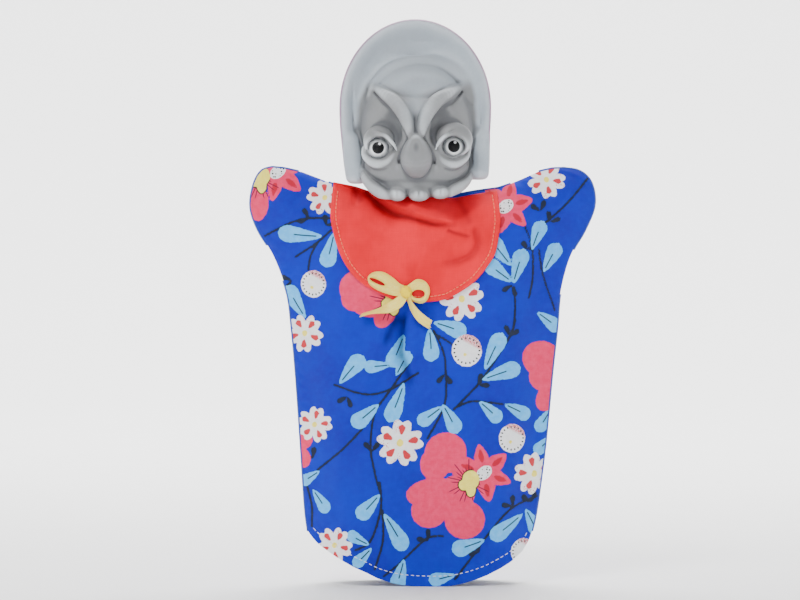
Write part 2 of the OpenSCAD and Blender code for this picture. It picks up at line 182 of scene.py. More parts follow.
# ---------------------------------------------------------------- node helpers
class Nodes:
    """A material and short calls for its nodes."""

    def __init__(self, name):
        self.mat = bpy.data.materials.new(name)
        self.mat.use_nodes = True
        self.tree = self.mat.node_tree
        self.bsdf = self.tree.nodes["Principled BSDF"]

    def node(self, kind, **props):
        n = self.tree.nodes.new(kind)
        for k, v in props.items():
            setattr(n, k, v)
        return n

    def put(self, value, socket):
        if isinstance(value, bpy.types.NodeSocket):
            self.tree.links.new(value, socket)
        elif value is not None:
            socket.default_value = value

    def math(self, op, a, b=None, c=None, clamp=False):
        n = self.node("ShaderNodeMath", operation=op, use_clamp=clamp)
        for k, v in enumerate((a, b, c)):
            self.put(v, n.inputs[k])
        return n.outputs[0]

    def add(self, a, b):
        return self.math("ADD", a, b)

    def sub(self, a, b):
        return self.math("SUBTRACT", a, b)

    def mul(self, a, b):
        return self.math("MULTIPLY", a, b)

    def sine(self, a):
        return self.math("SINE", a)

    def absolute(self, a):
        return self.math("ABSOLUTE", a)

    def step(self, x, low, high, out_low=0.0, out_high=1.0):
        n = self.node("ShaderNodeMapRange", interpolation_type="SMOOTHSTEP")
        for k, v in enumerate((x, low, high, out_low, out_high)):
            self.put(v, n.inputs[k])
        return n.outputs[0]

    def mix(self, t, a, b, mode="MIX"):
        n = self.node("ShaderNodeMix", data_type="RGBA", blend_type=mode)
        self.put(t, n.inputs[0])
        self.put(a, n.inputs[6])
        self.put(b, n.inputs[7])
        return n.outputs[2]

    def attribute(self, name):
        n = self.node("ShaderNodeAttribute", attribute_name=name)
        return n.outputs["Vector"], n.outputs["Fac"]

    def split(self, vector):
        n = self.node("ShaderNodeSeparateXYZ")
        self.put(vector, n.inputs[0])
        return n.outputs

    def noise(self, vector, scale, detail=2.0, rough=0.5):
        n = self.node("ShaderNodeTexNoise")
        self.put(vector, n.inputs["Vector"])
        self.put(scale, n.inputs["Scale"])
        self.put(detail, n.inputs["Detail"])
        self.put(rough, n.inputs["Roughness"])
        return n.outputs["Fac"]

    def bump(self, height, strength, distance, normal=None):
        n = self.node("ShaderNodeBump")
        n.inputs["Strength"].default_value = strength
        n.inputs["Distance"].default_value = distance
        self.put(height, n.inputs["Height"])
        if normal is not None:
            self.put(normal, n.inputs["Normal"])
        return n.outputs[0]

    def coords(self):
        return self.node("ShaderNodeTexCoord").outputs["Object"]

    def scaled(self, vector, s):
        n = self.node("ShaderNodeVectorMath", operation="MULTIPLY")
        self.put(vector, n.inputs[0])
        n.inputs[1].default_value = s
        return n.outputs[0]

    def grey(self, value):
        n = self.node("ShaderNodeCombineColor")
        for k in range(3):
            self.put(value, n.inputs[k])
        return n.outputs[0]

    def weave(self, flat, pitch):
        """Plain weave over flat cloth coordinates in mm: height of the threads, 0 to 1."""
        x, y, _ = self.split(flat)
        fx = self.mul(x, math.pi / pitch)
        fy = self.mul(y, math.pi / pitch)
        warp = self.absolute(self.sine(fx))
        weft = self.absolute(self.sine(fy))
        over = self.mul(self.sine(fx), self.sine(fy))
        pick = self.step(over, -0.3, 0.3)
        a = self.mul(warp, pick)
        b = self.mul(weft, self.sub(1.0, pick))
        return self.add(a, b)


def rgb(r, g, b):
    return (r, g, b, 1.0)


# ---------------------------------------------------------------- mesh helpers
def mesh_object(name, points, faces, material):
    mesh = bpy.data.meshes.new(name)
    corners = [tuple(p) for p in np.asarray(points) * MM]
    mesh.from_pydata(corners, [], [tuple(int(i) for i in f) for f in faces])
    mesh.materials.append(material)
    mesh.polygons.foreach_set("use_smooth", np.ones(len(mesh.polygons), bool))
    mesh.update()
    obj = bpy.data.objects.new(name, mesh)
    bpy.context.collection.objects.link(obj)
    return obj


def point_vector(mesh, name, values):
    a = mesh.attributes.new(name, "FLOAT_VECTOR", "POINT")
    a.data.foreach_set("vector", np.asarray(values, np.float32).ravel())


def grid_normals(g):
    """Unit normals of a grid of points."""
    n = np.cross(np.gradient(g, axis=1), np.gradient(g, axis=0))
    return n / np.maximum(np.linalg.norm(n, axis=-1, keepdims=True), 1e-9)


def sheet_mesh(name, outer, inner, mask, material, vectors=None, corners=None, normals=None):
    """Closed thin sheet from two grids of points, over the cells that mask keeps."""
    n, m = outer.shape[:2]
    ids = np.arange(n * m).reshape(n, m)
    q = np.stack([ids[:-1, :-1], ids[:-1, 1:], ids[1:, 1:], ids[1:, :-1]], -1)[mask]
    e = np.concatenate([q[:, [0, 1]], q[:, [1, 2]], q[:, [2, 3]], q[:, [3, 0]]])
    key = np.sort(e, axis=1)
    _, index, count = np.unique(key[:, 0] * (n * m) + key[:, 1], return_index=True, return_counts=True)
    rim = e[index[count == 1]]
    used = np.unique(q)
    new = np.full(n * m, -1)
    new[used] = np.arange(len(used))
    k = len(used)
    q2, rim2 = new[q], new[rim]
    faces = np.concatenate([q2, q2[:, ::-1] + k,
                            np.stack([rim2[:, 1], rim2[:, 0], rim2[:, 0] + k, rim2[:, 1] + k], -1)])
    pts = np.concatenate([outer.reshape(-1, 3)[used], inner.reshape(-1, 3)[used]])
    mesh = bpy.data.meshes.new(name)
    mesh.vertices.add(len(pts))
    mesh.vertices.foreach_set("co", (pts * MM).astype(np.float32).ravel())
    mesh.loops.add(len(faces) * 4)
    mesh.loops.foreach_set("vertex_index", faces.astype(np.int32).ravel())
    mesh.polygons.add(len(faces))
    mesh.polygons.foreach_set("loop_start", np.arange(0, len(faces) * 4, 4, dtype=np.int32))
    mesh.polygons.foreach_set("use_smooth", np.ones(len(faces), bool))
    mesh.update(calc_edges=True)
    mesh.materials.append(material)
    for key, grid in (vectors or {}).items():
        flat = grid.reshape(-1, 3)[used]
        point_vector(mesh, key, np.concatenate([flat, flat]))
    for key, cells in (corners or {}).items():
        c = cells[mask]
        rims = np.zeros((len(rim2), 4, 3))
        a = mesh.attributes.new(key, "FLOAT_VECTOR", "CORNER")
        a.data.foreach_set("vector", np.concatenate([c, c[:, ::-1], rims]).astype(np.float32).ravel())
    if normals is not None:
        nn = normals.reshape(-1, 3)[used]
        both = np.concatenate([nn, -nn])
        mesh.normals_split_custom_set_from_vertices([tuple(v) for v in both])
    obj = bpy.data.objects.new(name, mesh)
    bpy.context.collection.objects.link(obj)
    return obj


def ring_quads(rings, sides):
    """Quads between rings of points that follow each other, each ring closed."""
    return [(i * sides + k, (i + 1) * sides + k, (i + 1) * sides + (k + 1) % sides,
             i * sides + (k + 1) % sides)
            for i in range(rings - 1) for k in range(sides)]


def tube(name, path, radius, material, sides=8):
    """Closed tube along a path of points in mm."""
    p = np.asarray(path, float)
    t = np.gradient(p, axis=0)
    t /= np.maximum(np.linalg.norm(t, axis=1, keepdims=True), 1e-9)
    ref = np.array([0, 1.0, 0])
    a = np.cross(t, ref)
    bad = np.linalg.norm(a, axis=1) < 1e-3
    a[bad] = np.cross(t[bad], [1.0, 0, 0])
    a /= np.linalg.norm(a, axis=1, keepdims=True)
    b = np.cross(t, a)
    ang = np.arange(sides) * math.tau / sides
    out = np.cos(ang)[None, :, None] * a[:, None] + np.sin(ang)[None, :, None] * b[:, None]
    ring = p[:, None] + radius * out
    n = len(p)
    faces = ring_quads(n, sides)
    faces += [tuple(range(sides)), tuple((n - 1) * sides + k for k in reversed(range(sides)))]
    return mesh_object(name, ring.reshape(-1, 3), faces, material)


def join(name, objs):
    """One object of several."""
    bm = bmesh.new()
    for o in objs:
        bm.from_mesh(o.data)
    mesh = bpy.data.meshes.new(name)
    bm.to_mesh(mesh)
    bm.free()
    mesh.materials.append(objs[0].data.materials[0])
    for o in objs:
        old = o.data
        bpy.data.objects.remove(o)
        bpy.data.meshes.remove(old)
    obj = bpy.data.objects.new(name, mesh)
    bpy.context.collection.objects.link(obj)
    return obj


# ---------------------------------------------------------------- printed flowers, places in mm on the front
# Leaves: centre and base (the end at the stem)
LEAVES = [
    ((-57, 174), (-46.5, 173)), ((-42.5, 167), (-40.5, 175)), ((-59.5, 140), (-55, 132.5)),
    ((-32.5, 106.5), (-38, 100)), ((-18.5, 109), (-12.5, 109.5)), ((-9, 117), (-6, 124.5)),
    ((-7, 109.5), (-10, 104)), ((-9.5, 91.5), (-6, 100.5)), ((-24.5, 85), (-18.5, 90)),
    ((-52.5, 53.5), (-48, 56.5)), ((-48, 42), (-51.5, 47)), ((-23, 40), (-18, 45.5)),
    ((60, 173), (57.5, 166.5)), ((67, 162), (63.5, 155.5)), ((42, 165), (47, 158.5)),
    ((41.5, 155), (47.5, 150.5)), ((50.5, 157.5), (48, 149.5)), ((65.5, 131.5), (60, 135.5)),
    ((16, 128), (8.5, 130.5)), ((7, 120), (6.5, 127.5)), ((38, 115.5), (34, 107)),
    ((41.5, 105), (32.5, 102)), ((7.5, 85), (13, 89)), ((16.5, 83.5), (13, 90)),
    ((36, 87), (31, 91.5)), ((49.5, 87), (43.5, 90)), ((64.5, 82.5), (68, 88)),
    ((-11, 27.5), (-16, 36)), ((-28, 23), (-23, 20.5)), ((-26, 15), (-22, 19)),
    ((-8, 6.5), (-6, 13.5)), ((13.5, 4.5), (19.5, 6)), ((26.5, 20.5), (34, 23)),
    ((45.5, 29.5), (53, 35)), ((57.5, 31.5), (54.5, 37.5)), ((64.5, 70), (69, 74)),
]
STEMS = [
    [(-75.5, 173.5), (-62, 180), (-53.5, 182), (-42, 182)],
    [(-42, 176), (-49, 170), (-60, 163)],
    [(-48.5, 170.5), (-52.5, 163), (-53.5, 156.5)],
    [(-40.5, 99.5), (-25.5, 95), (-13.5, 97), (1, 105.5)],
    [(-2, 112.5), (-13.5, 96), (-20.5, 85.5), (-22.5, 69.5), (-20.5, 56.5), (-17.5, 45.5)],
    [(-26.5, 78), (-36, 68), (-49, 57)],
    [(86, 202.5), (74.5, 189), (62.5, 178.5)],
    [(53.5, 179), (57.5, 167.5), (58, 153.5), (56, 142.5)],
    [(61, 166.5), (63, 154.5), (69.5, 136)],
    [(48.5, 148), (49, 137.5), (48, 127)],
    [(49, 131.5), (46, 123), (33.5, 103.5), (28.5, 97.5), (18.5, 87.5)],
    [(21, 89), (28.5, 91.5), (43, 90)],
    [(8.5, 126.5), (13, 117), (14.5, 108), (14, 90), (5.5, 73)],
    [(8.5, 125), (13.5, 122.5), (18.5, 119)],
    [(-18, 51.5), (-17.5, 38.5), (-22.5, 22.5), (-30, 18)],
    [(-16.5, 37.5), (-16.5, 22.5), (-20.5, 8.5)],
    [(-54.5, 49), (-52, 39), (-52, 28.5)],
    [(-16, 5), (-8, 11.5), (5, 23.5), (13.5, 25)],
    [(19, 3.5), (30.5, 18.5), (33, 22.5), (46.5, 37.5), (61.5, 44)],
]
# Pairs of small dark leaves on the stems: place and the angle that the pair opens to
SEPALS = [
    ((-53, 182), 160), ((-44.5, 178), 60), ((-62, 151.5), 200), ((-34, 94), 250), ((-22, 66.5), 90),
    ((-51.5, 62.5), 120), ((62, 185.5), 110), ((66.5, 180), 60), ((56, 166), 90), ((47.5, 149), 250),
    ((46, 123.5), 70), ((30.5, 99.5), 35), ((14.3, 105), 265), ((6, 22.5), 130), ((31.5, 17), 150),
    ((48, 39), 130), ((57, 40.5), 100),
]
# Blossoms: centre, radius, turn
BLOSSOMS = [
    ((-45.5, 192.5), 8.5, 20), ((-55.5, 125), 9, 50), ((-50.5, 79.5), 8.5, 80), ((-8, 71), 11, 10),
    ((65, 201.5), 9, 65), ((22.5, 142), 10.5, 100), ((59, 55), 10, 30), ((-40.5, 20), 8.5, 60),
]
# Star flowers: centre, radius, turn
STARS = [((-69, 205.5), 15, 200), ((44.5, 188), 14, 15), ((33.5, 56), 14.5, 40)]
# Discs: centre, radius
DISCS = [((-51, 149.5), 6.3), ((25, 116.5), 7.4), ((47.5, 73), 6.7), ((53, 16.5), 6.0)]
# Large flowers: heart, then petals as centre and the two half widths with the turn
BIG_FLOWERS = [
    ((26, 51.5), [((14.5, 66), 10, 10.5, 120), ((9, 60), 8, 7, 100), ((9, 46), 14, 7.5, 185),
                  ((6.5, 37.5), 9, 8.5, 200), ((24, 33), 9.5, 10, 90), ((20, 46), 9, 9, 0), ((24, 58), 6,
                          7, 60)]),
    ((-12, 141), [((-28.5, 147), 9.5, 9, 160), ((-22, 141), 10, 8, 190), ((-15, 135), 8, 5, 240),
                  ((-31, 142), 6, 6, 0)]),
    ((82, 104), [((63, 112), 10.5, 9, 160), ((64.5, 104), 8.5, 8, 200), ((67, 94), 9, 6, 230)]),
    ((-72, 66), [((-57, 72), 5, 5.5, 90), ((-57, 62.5), 5, 4.5, 90)]),
    ((-78, 202), [((-79, 190), 5.5, 9, 0), ((-80, 196), 5, 6, 0)]),
]


def turned(p, centre, angle):
    a = math.radians(angle)
    q = p - np.array(centre, float)
    return np.stack([q[..., 0] * math.cos(a) + q[..., 1] * math.sin(a),
                     -q[..., 0] * math.sin(a) + q[..., 1] * math.cos(a)], -1)


def oval(q, rx, ry):
    """Roughly the distance to an oval's rim, less than 0 inside."""
    k = np.hypot(q[..., 0] / rx, q[..., 1] / ry)
    g = np.hypot(q[..., 0] / rx**2, q[..., 1] / ry**2)
    return np.where(k < 1e-6, -min(rx, ry), k * (k - 1) / np.maximum(g, 1e-9))


def drop(q, length, width, fat=0.62):
    """A teardrop with its point at the origin that runs along +x."""
    u = q[..., 0] / length
    end = np.clip((u - fat) / (1 - fat), 0, 1)
    w = width / 2 * np.clip(u, 0, 1) ** 0.62 * np.sqrt(np.clip(1 - end**2, 0, 1))
    w = w / max(fat**0.62, 0.1)
    side = np.abs(q[..., 1]) - w
    return np.where(u < 0, np.hypot(q[..., 0], q[..., 1]),
                    np.where(u > 1, np.hypot(q[..., 0] - length, q[..., 1]), side * 0.85))


def lens(q, a, b, half):
    """A petal with two pointed ends, from a to b along +x."""
    u = (q[..., 0] - (a + b) / 2) / ((b - a) / 2)
    w = half * np.sqrt(np.clip(1 - u * u, 0, 1)) * (1 - 0.28 * u)
    side = (np.abs(q[..., 1]) - w * (1 - 0.25 * np.abs(u))) * 0.8
    return np.where(np.abs(u) > 1, np.maximum(np.abs(u) - 1, 0) * (b - a) / 2 + np.abs(q[..., 1]) * 0.7, side)


def print_fields(p):
    """Signed distances in mm of the printed shapes at points p, and the place across and along the nearest
    leaf.
    """
    shape = p.shape[:-1]
    far = np.full(shape, 50.0)
    leaf, rib, stem, white, pink, rose, yellow, red = (far.copy() for _ in range(8))
    rib_u = far.copy()
    for centre, base in LEAVES:
        c, b = np.array(centre, float), np.array(base, float)
        half = np.linalg.norm(c - b)
        near = np.linalg.norm(p - c, axis=-1) < half * 1.3 + 3
        angle = math.degrees(math.atan2(c[1] - b[1], c[0] - b[0]))
        q = turned(p[near], b, angle)
        bend = 0.05 * q[..., 0] * (2 * half - q[..., 0]) / half
        q = np.stack([q[..., 0], q[..., 1] - bend * 0.5], -1)
        d = drop(q, 2 * half + 1.2, min(half * 1.02, 8.0), 0.66)
        old = leaf[near]
        leaf[near] = np.minimum(old, d)
        take = d < old
        rib[near] = np.where(take, q[..., 1], rib[near])
        rib_u[near] = np.where(take, q[..., 0] / (2 * half), rib_u[near])
    for line in STEMS:
        c = along(line, np.linspace(0, 1, 8 * len(line)))
        stem = np.minimum(stem, to_chain(p, c) - 0.62)
    for centre, angle in SEPALS:
        near = np.linalg.norm(p - np.array(centre, float), axis=-1) < 9
        for turn in (-38, 38):
            d = drop(turned(p[near], centre, angle + turn), 6.0, 2.6)
            stem[near] = np.minimum(stem[near], d)
    for centre, r, turn in BLOSSOMS:
        near = np.linalg.norm(p - np.array(centre, float), axis=-1) < r + 4
        pp = p[near]
        petals = np.full(pp.shape[:-1], 50.0)
        spots = petals.copy()
        for k in range(5):
            a = turn + 72 * k
            q = turned(pp, centre, a)
            petal = np.minimum(oval(turned(q, (0.62 * r, 0.17 * r), 12), 0.42 * r, 0.235 * r),
                               oval(turned(q, (0.64 * r, -0.17 * r), -12), 0.40 * r, 0.235 * r))
            petal = np.minimum(petal, oval(q - [0.4 * r, 0], 0.42 * r, 0.17 * r))
            petals = np.minimum(petals, petal)
            spots = np.minimum(spots, drop(q - [0.34 * r, 0], 0.48 * r, 0.3 * r))
        white[near] = np.minimum(white[near], petals)
        red[near] = np.minimum(red[near], spots)
        yellow[near] = np.minimum(yellow[near], oval(turned(pp, centre, 0), 0.15 * r, 0.17 * r))
    for centre, petals in BIG_FLOWERS:
        for c, rx, ry, turn in petals:
            pink = np.minimum(pink, oval(turned(p, c, turn), rx, ry))
        heart = np.minimum(oval(turned(p, (centre[0] + 1, centre[1] + 1.2), 0), 4.2, 4.6),
                           np.minimum(oval(turned(p, (centre[0] - 2.3, centre[1] - 1.4), 0), 2.8, 2.6),
                                      oval(turned(p, (centre[0] + 1, centre[1] - 3.6), 0), 2.4, 3.6)))
        yellow = np.minimum(yellow, heart)
    for centre, r, turn in STARS:
        near = np.linalg.norm(p - np.array(centre, float), axis=-1) < r + 5
        pp = p[near]
        for k in range(6):
            q = turned(pp, centre, turn + 60 * k)
            wide = 3.6 if k % 2 else 4.1
            pink[near] = np.minimum(pink[near], lens(q, 1.5, r, wide))
            rose[near] = np.minimum(rose[near], lens(q, 0.36 * r, 0.84 * r, 1.35))
        inner = oval(turned(pp, centre, 40), 4.4, 3.1)
        white[near] = np.minimum(white[near], inner)
        rose[near] = np.maximum(rose[near], 0.4 - inner)
    for centre, r in DISCS:
        near = np.linalg.norm(p - np.array(centre, float), axis=-1) < r + 4
        q = turned(p[near], centre, 0)
        white[near] = np.minimum(white[near], oval(q, r, r * 1.07))
        yellow[near] = np.minimum(yellow[near], oval(q - [-0.12 * r, -0.28 * r], 0.9, 0.9))
    return leaf, rib, rib_u, stem, white, pink, rose, yellow, red


def marks(cells):
    """For each cell's corners: place in mm from its flower's centre, and the flower's kind:
    1 rays of a large flower, 2 dots of a star's middle, 3 rim dots of a disc, 4 stipple of a blossom."""
    mid = cells.mean(axis=-2)
    out = np.zeros(cells.shape[:-1] + (3,))
    best = np.full(mid.shape[:-1], 1e9)
    things = [(c, 27.0, 1.0) for c, _ in BIG_FLOWERS] + [(c, 5.2, 2.0) for c, _, _ in STARS]
    things += [(c, r + 1.0, 3.0 + r / 100) for c, r in DISCS] + [(c, r + 1.5, 4.0) for c, r, _ in BLOSSOMS]
    for c, reach, kind in things:
        d = np.linalg.norm(mid - np.array(c, float), axis=-1) / reach
        take = (d < 1) & (d * reach < best)
        best = np.where(take, d * reach, best)
        local = cells - np.array(c, float)
        out[take, :, 0] = local[take][..., 0]
        out[take, :, 1] = local[take][..., 1]
        out[take, :, 2] = kind
    return out


def print_material():
    m = Nodes("flower_print_cotton")
    a_vec, _ = m.attribute("print_a")
    b_vec, _ = m.attribute("print_b")
    c_vec, _ = m.attribute("print_c")
    f_vec, _ = m.attribute("flat")
    k_vec, _ = m.attribute("marks")
    leaf, rib, stem = m.split(a_vec)
    white, pink, rose = m.split(b_vec)
    yellow, red, rib_u = m.split(c_vec)
    lx, ly, kind = m.split(k_vec)

    def cloth_xy():
        return m.scaled(f_vec, (1, 1, 0))

    wobble = m.mul(m.sub(m.noise(cloth_xy(), 0.55, 3.0), 0.5), 0.8)

    def inside(d, soft=0.12, grow=0.0):
        return m.step(m.sub(m.add(d, wobble), grow), -soft, soft, 1.0, 0.0)

    tone = m.noise(cloth_xy(), 0.035, 3.0)
    fine = m.noise(cloth_xy(), 0.35, 4.0, 0.6)
    blue = m.mix(m.step(tone, 0.35, 0.7), rgb(0.001, 0.016, 0.430), rgb(0.006, 0.008, 0.330))
    blue = m.mix(m.mul(m.step(fine, 0.3, 0.8), 0.35), blue, rgb(0.001, 0.030, 0.55))
    col = m.mix(inside(stem), blue, rgb(0.012, 0.018, 0.035))
    leaf_c = m.mix(m.step(fine, 0.3, 0.75), rgb(0.07, 0.42, 0.88), rgb(0.14, 0.53, 0.95))
    in_leaf = inside(leaf)
    col = m.mix(in_leaf, col, leaf_c)
    vein = m.mul(m.step(m.absolute(rib), 0.22, 0.42, 1.0, 0.0), in_leaf)
    length = m.mul(m.step(rib_u, 0.12, 0.16), m.step(rib_u, 0.66, 0.70, 1.0, 0.0))
    vein = m.mul(vein, length)
    col = m.mix(vein, col, rgb(0.02, 0.035, 0.06))
    pink_c = m.mix(m.step(fine, 0.25, 0.8), rgb(0.74, 0.022, 0.095), rgb(0.82, 0.045, 0.14))
    in_pink = inside(pink)
    col = m.mix(in_pink, col, pink_c)
    col = m.mix(inside(rose, 0.25), col, rgb(0.50, 0.010, 0.035))

    radius = m.math("SQRT", m.add(m.mul(lx, lx), m.mul(ly, ly)))
    angle = m.math("ARCTAN2", ly, lx)

    def is_kind(k):
        return m.math("COMPARE", kind, k, 0.3)

    # Rays: dark strokes that leave the heart, of uneven length
    spokes = m.absolute(m.sine(m.mul(angle, 14.0)))
    width = m.math("DIVIDE", 3.6, m.math("MAXIMUM", radius, 3.0))
    stroke = m.step(spokes, m.mul(width, 0.55), width, 1.0, 0.0)
    ends = m.add(9.0, m.mul(m.sine(m.mul(angle, 9.0)), 3.0))
    stroke = m.mul(stroke, m.step(m.sub(ends, radius), 0.0, 1.2))
    stroke = m.mul(m.mul(stroke, is_kind(1.0)), in_pink)
    col = m.mix(stroke, col, rgb(0.03, 0.012, 0.03))

    in_white = inside(white)
    white_c = m.mix(m.step(fine, 0.3, 0.8), rgb(0.80, 0.81, 0.85), rgb(0.90, 0.90, 0.92))
    col = m.mix(in_white, col, white_c)
    # Red stipple: grains that thicken towards the petals' ends and one side of the discs
    grain = m.node("ShaderNodeTexVoronoi", feature="F1")
    m.put(m.scaled(f_vec, (1, 1, 0)), grain.inputs["Vector"])
    grain.inputs["Scale"].default_value = 1.5
    g = m.step(grain.outputs["Distance"], 0.26, 0.36, 1.0, 0.0)
    zone = m.step(m.noise(m.scaled(f_vec, (1, 1, 0)), 0.16, 2.0), 0.52, 0.60)
    zone = m.mul(zone, m.step(radius, 4.6, 6.2))
    stipple = m.mul(m.mul(m.mul(g, zone), is_kind(4.0)), in_white)
    col = m.mix(stipple, col, rgb(0.60, 0.04, 0.05))
    in_red = m.mul(inside(red), in_white)
    col = m.mix(in_red, col, rgb(0.56, 0.035, 0.045))
    crescent = m.mul(m.step(m.add(m.mul(lx, 0.55), ly), 3.2, 5.2),
                      m.step(m.noise(m.scaled(f_vec, (1, 1, 0)), 2.2, 1.0), 0.38, 0.5))
    crescent = m.mul(m.mul(crescent, is_kind(3.0)), in_white)
    col = m.mix(m.mul(crescent, 0.85), col, rgb(0.62, 0.05, 0.07))
    # Rim dots of a disc: its radius is told by the kind's fraction
    disc_r = m.mul(m.sub(kind, 3.0), 100.0)
    ring = m.absolute(m.sub(radius, m.mul(disc_r, 0.84)))
    around = m.mul(m.absolute(m.sine(m.mul(angle, 9.5))), 0.95)
    dot = m.math("SQRT", m.add(m.mul(ring, ring), m.mul(around, around)))
    dots = m.mul(m.step(dot, 0.48, 0.6, 1.0, 0.0), m.mul(is_kind(3.0), in_white))
    col = m.mix(dots, col, rgb(0.015, 0.015, 0.02))
    grains = m.node("ShaderNodeTexVoronoi", feature="F1")
    m.put(k_vec, grains.inputs["Vector"])
    grains.inputs["Scale"].default_value = 0.75
    grains.inputs["Randomness"].default_value = 0.45
    pips = m.mul(m.step(grains.outputs["Distance"], 0.3, 0.38, 1.0, 0.0),
                  m.mul(is_kind(2.0), inside(white, 0.12, -0.6)))
    col = m.mix(pips, col, rgb(0.02, 0.02, 0.025))
    outline = m.mul(inside(yellow, 0.12, 0.55), is_kind(1.0))
    col = m.mix(outline, col, rgb(0.03, 0.015, 0.02))
    col = m.mix(inside(yellow), col,
                m.mix(m.step(fine, 0.3, 0.8), rgb(0.86, 0.72, 0.09), rgb(0.92, 0.82, 0.16)))

    # Cloth: weave and slubs vary the threads' tone, raised threads lighter; painted shade darkens the folds'
    # deep valleys
    w = m.weave(f_vec, 0.42)
    slub = m.noise(m.scaled(f_vec, (0.16, 2.6, 0)), 1.0, 2.0)
    slub2 = m.noise(m.scaled(f_vec, (2.6, 0.16, 0)), 1.0, 2.0)
    threads = m.mul(m.add(slub, slub2), 0.5)
    shade = m.add(0.80, m.add(m.mul(w, 0.16), m.mul(threads, 0.22)))
    # Painted shade in the folds' deep valleys, from the shade attribute
    painted_shade, _, _ = m.split(m.attribute("shade")[0])
    shade = m.mul(shade, m.sub(1.0, m.mul(painted_shade, 0.62)))
    col = m.mix(1.0, col, m.grey(shade), "MULTIPLY")
    m.put(col, m.bsdf.inputs["Base Color"])
    rough = m.add(0.72, m.mul(fine, 0.18))
    m.put(rough, m.bsdf.inputs["Roughness"])
    m.bsdf.inputs["Sheen Weight"].default_value = 0.03
    m.bsdf.inputs["Sheen Roughness"].default_value = 0.5
    m.bsdf.inputs["Specular IOR Level"].default_value = 0.18
    height = m.add(w, m.mul(threads, 0.8))
    m.put(m.bump(height, 0.35, 0.00012), m.bsdf.inputs["Normal"])
    return m.mat


def cotton_material(name, light, dark, pitch, sheen=0.15):
    """Plain-weave cotton of one dye, with slubs, and painted shade in the folds where a shade attribute is
    given.
    """
    m = Nodes(name)
    f_vec, _ = m.attribute("flat")
    flat = m.scaled(f_vec, (1, 1, 0))
    tone = m.noise(flat, 0.05, 3.0)
    fine = m.noise(flat, 0.5, 4.0, 0.6)
    col = m.mix(m.step(tone, 0.32, 0.7), light, dark)
    w = m.weave(f_vec, pitch)
    slub = m.mul(m.add(m.noise(m.scaled(f_vec, (0.14, 2.4, 0)), 1.0, 2.0),
                                     m.noise(m.scaled(f_vec, (2.4, 0.14, 0)), 1.0, 2.0)), 0.5)
    shade = m.add(0.78, m.add(m.mul(w, 0.18), m.mul(slub, 0.24)))
    # Painted shade in the folds' creases, from the shade attribute
    painted_shade, _, _ = m.split(m.attribute("shade")[0])
    col = m.mix(m.mul(painted_shade, 0.8), col, rgb(*[c * 0.24 for c in dark[:3]]))
    m.put(m.mix(1.0, col, m.grey(shade), "MULTIPLY"), m.bsdf.inputs["Base Color"])
    m.put(m.add(0.62, m.mul(fine, 0.22)), m.bsdf.inputs["Roughness"])
    m.bsdf.inputs["Sheen Weight"].default_value = sheen
    m.bsdf.inputs["Sheen Roughness"].default_value = 0.45
    m.bsdf.inputs["Specular IOR Level"].default_value = 0.2
    m.put(m.bump(m.add(w, slub), 0.35, 0.00012), m.bsdf.inputs["Normal"])
    return m.mat


def ribbon_material():
    m = Nodes("yellow_ribbon")
    f_vec, _ = m.attribute("flat")
    x, y, _ = m.split(f_vec)
    ribs = m.absolute(m.sine(m.mul(y, 7.5)))
    edge = m.step(m.absolute(x), 2.05, 2.3)
    fine = m.noise(m.scaled(f_vec, (1, 0.25, 0)), 1.6, 3.0)
    col = m.mix(m.step(fine, 0.25, 0.8), rgb(0.97, 0.72, 0.07), rgb(1.0, 0.86, 0.24))
    col = m.mix(m.mul(edge, 0.5), col, rgb(0.95, 0.62, 0.03))
    shade = m.add(0.84, m.mul(ribs, 0.16))
    m.put(m.mix(1.0, col, m.grey(shade), "MULTIPLY"), m.bsdf.inputs["Base Color"])
    m.put(m.add(0.36, m.mul(fine, 0.2)), m.bsdf.inputs["Roughness"])
    m.bsdf.inputs["Sheen Weight"].default_value = 0.05
    m.bsdf.inputs["Specular IOR Level"].default_value = 0.45
    m.put(m.bump(m.add(ribs, edge), 0.4, 0.00008), m.bsdf.inputs["Normal"])
    return m.mat


def thread_material(name, light, dark):
    m = Nodes(name)
    co = m.coords()
    twist = m.node("ShaderNodeTexWave", wave_type="BANDS", bands_direction="DIAGONAL")
    m.put(co, twist.inputs["Vector"])
    twist.inputs["Scale"].default_value = 900.0
    n = m.noise(co, 400.0, 2.0)
    m.put(m.mix(m.mul(twist.outputs["Fac"], n), light, dark), m.bsdf.inputs["Base Color"])
    m.put(m.add(0.55, m.mul(n, 0.25)), m.bsdf.inputs["Roughness"])
    m.put(m.bump(twist.outputs["Fac"], 0.3, 0.0001), m.bsdf.inputs["Normal"])
    return m.mat


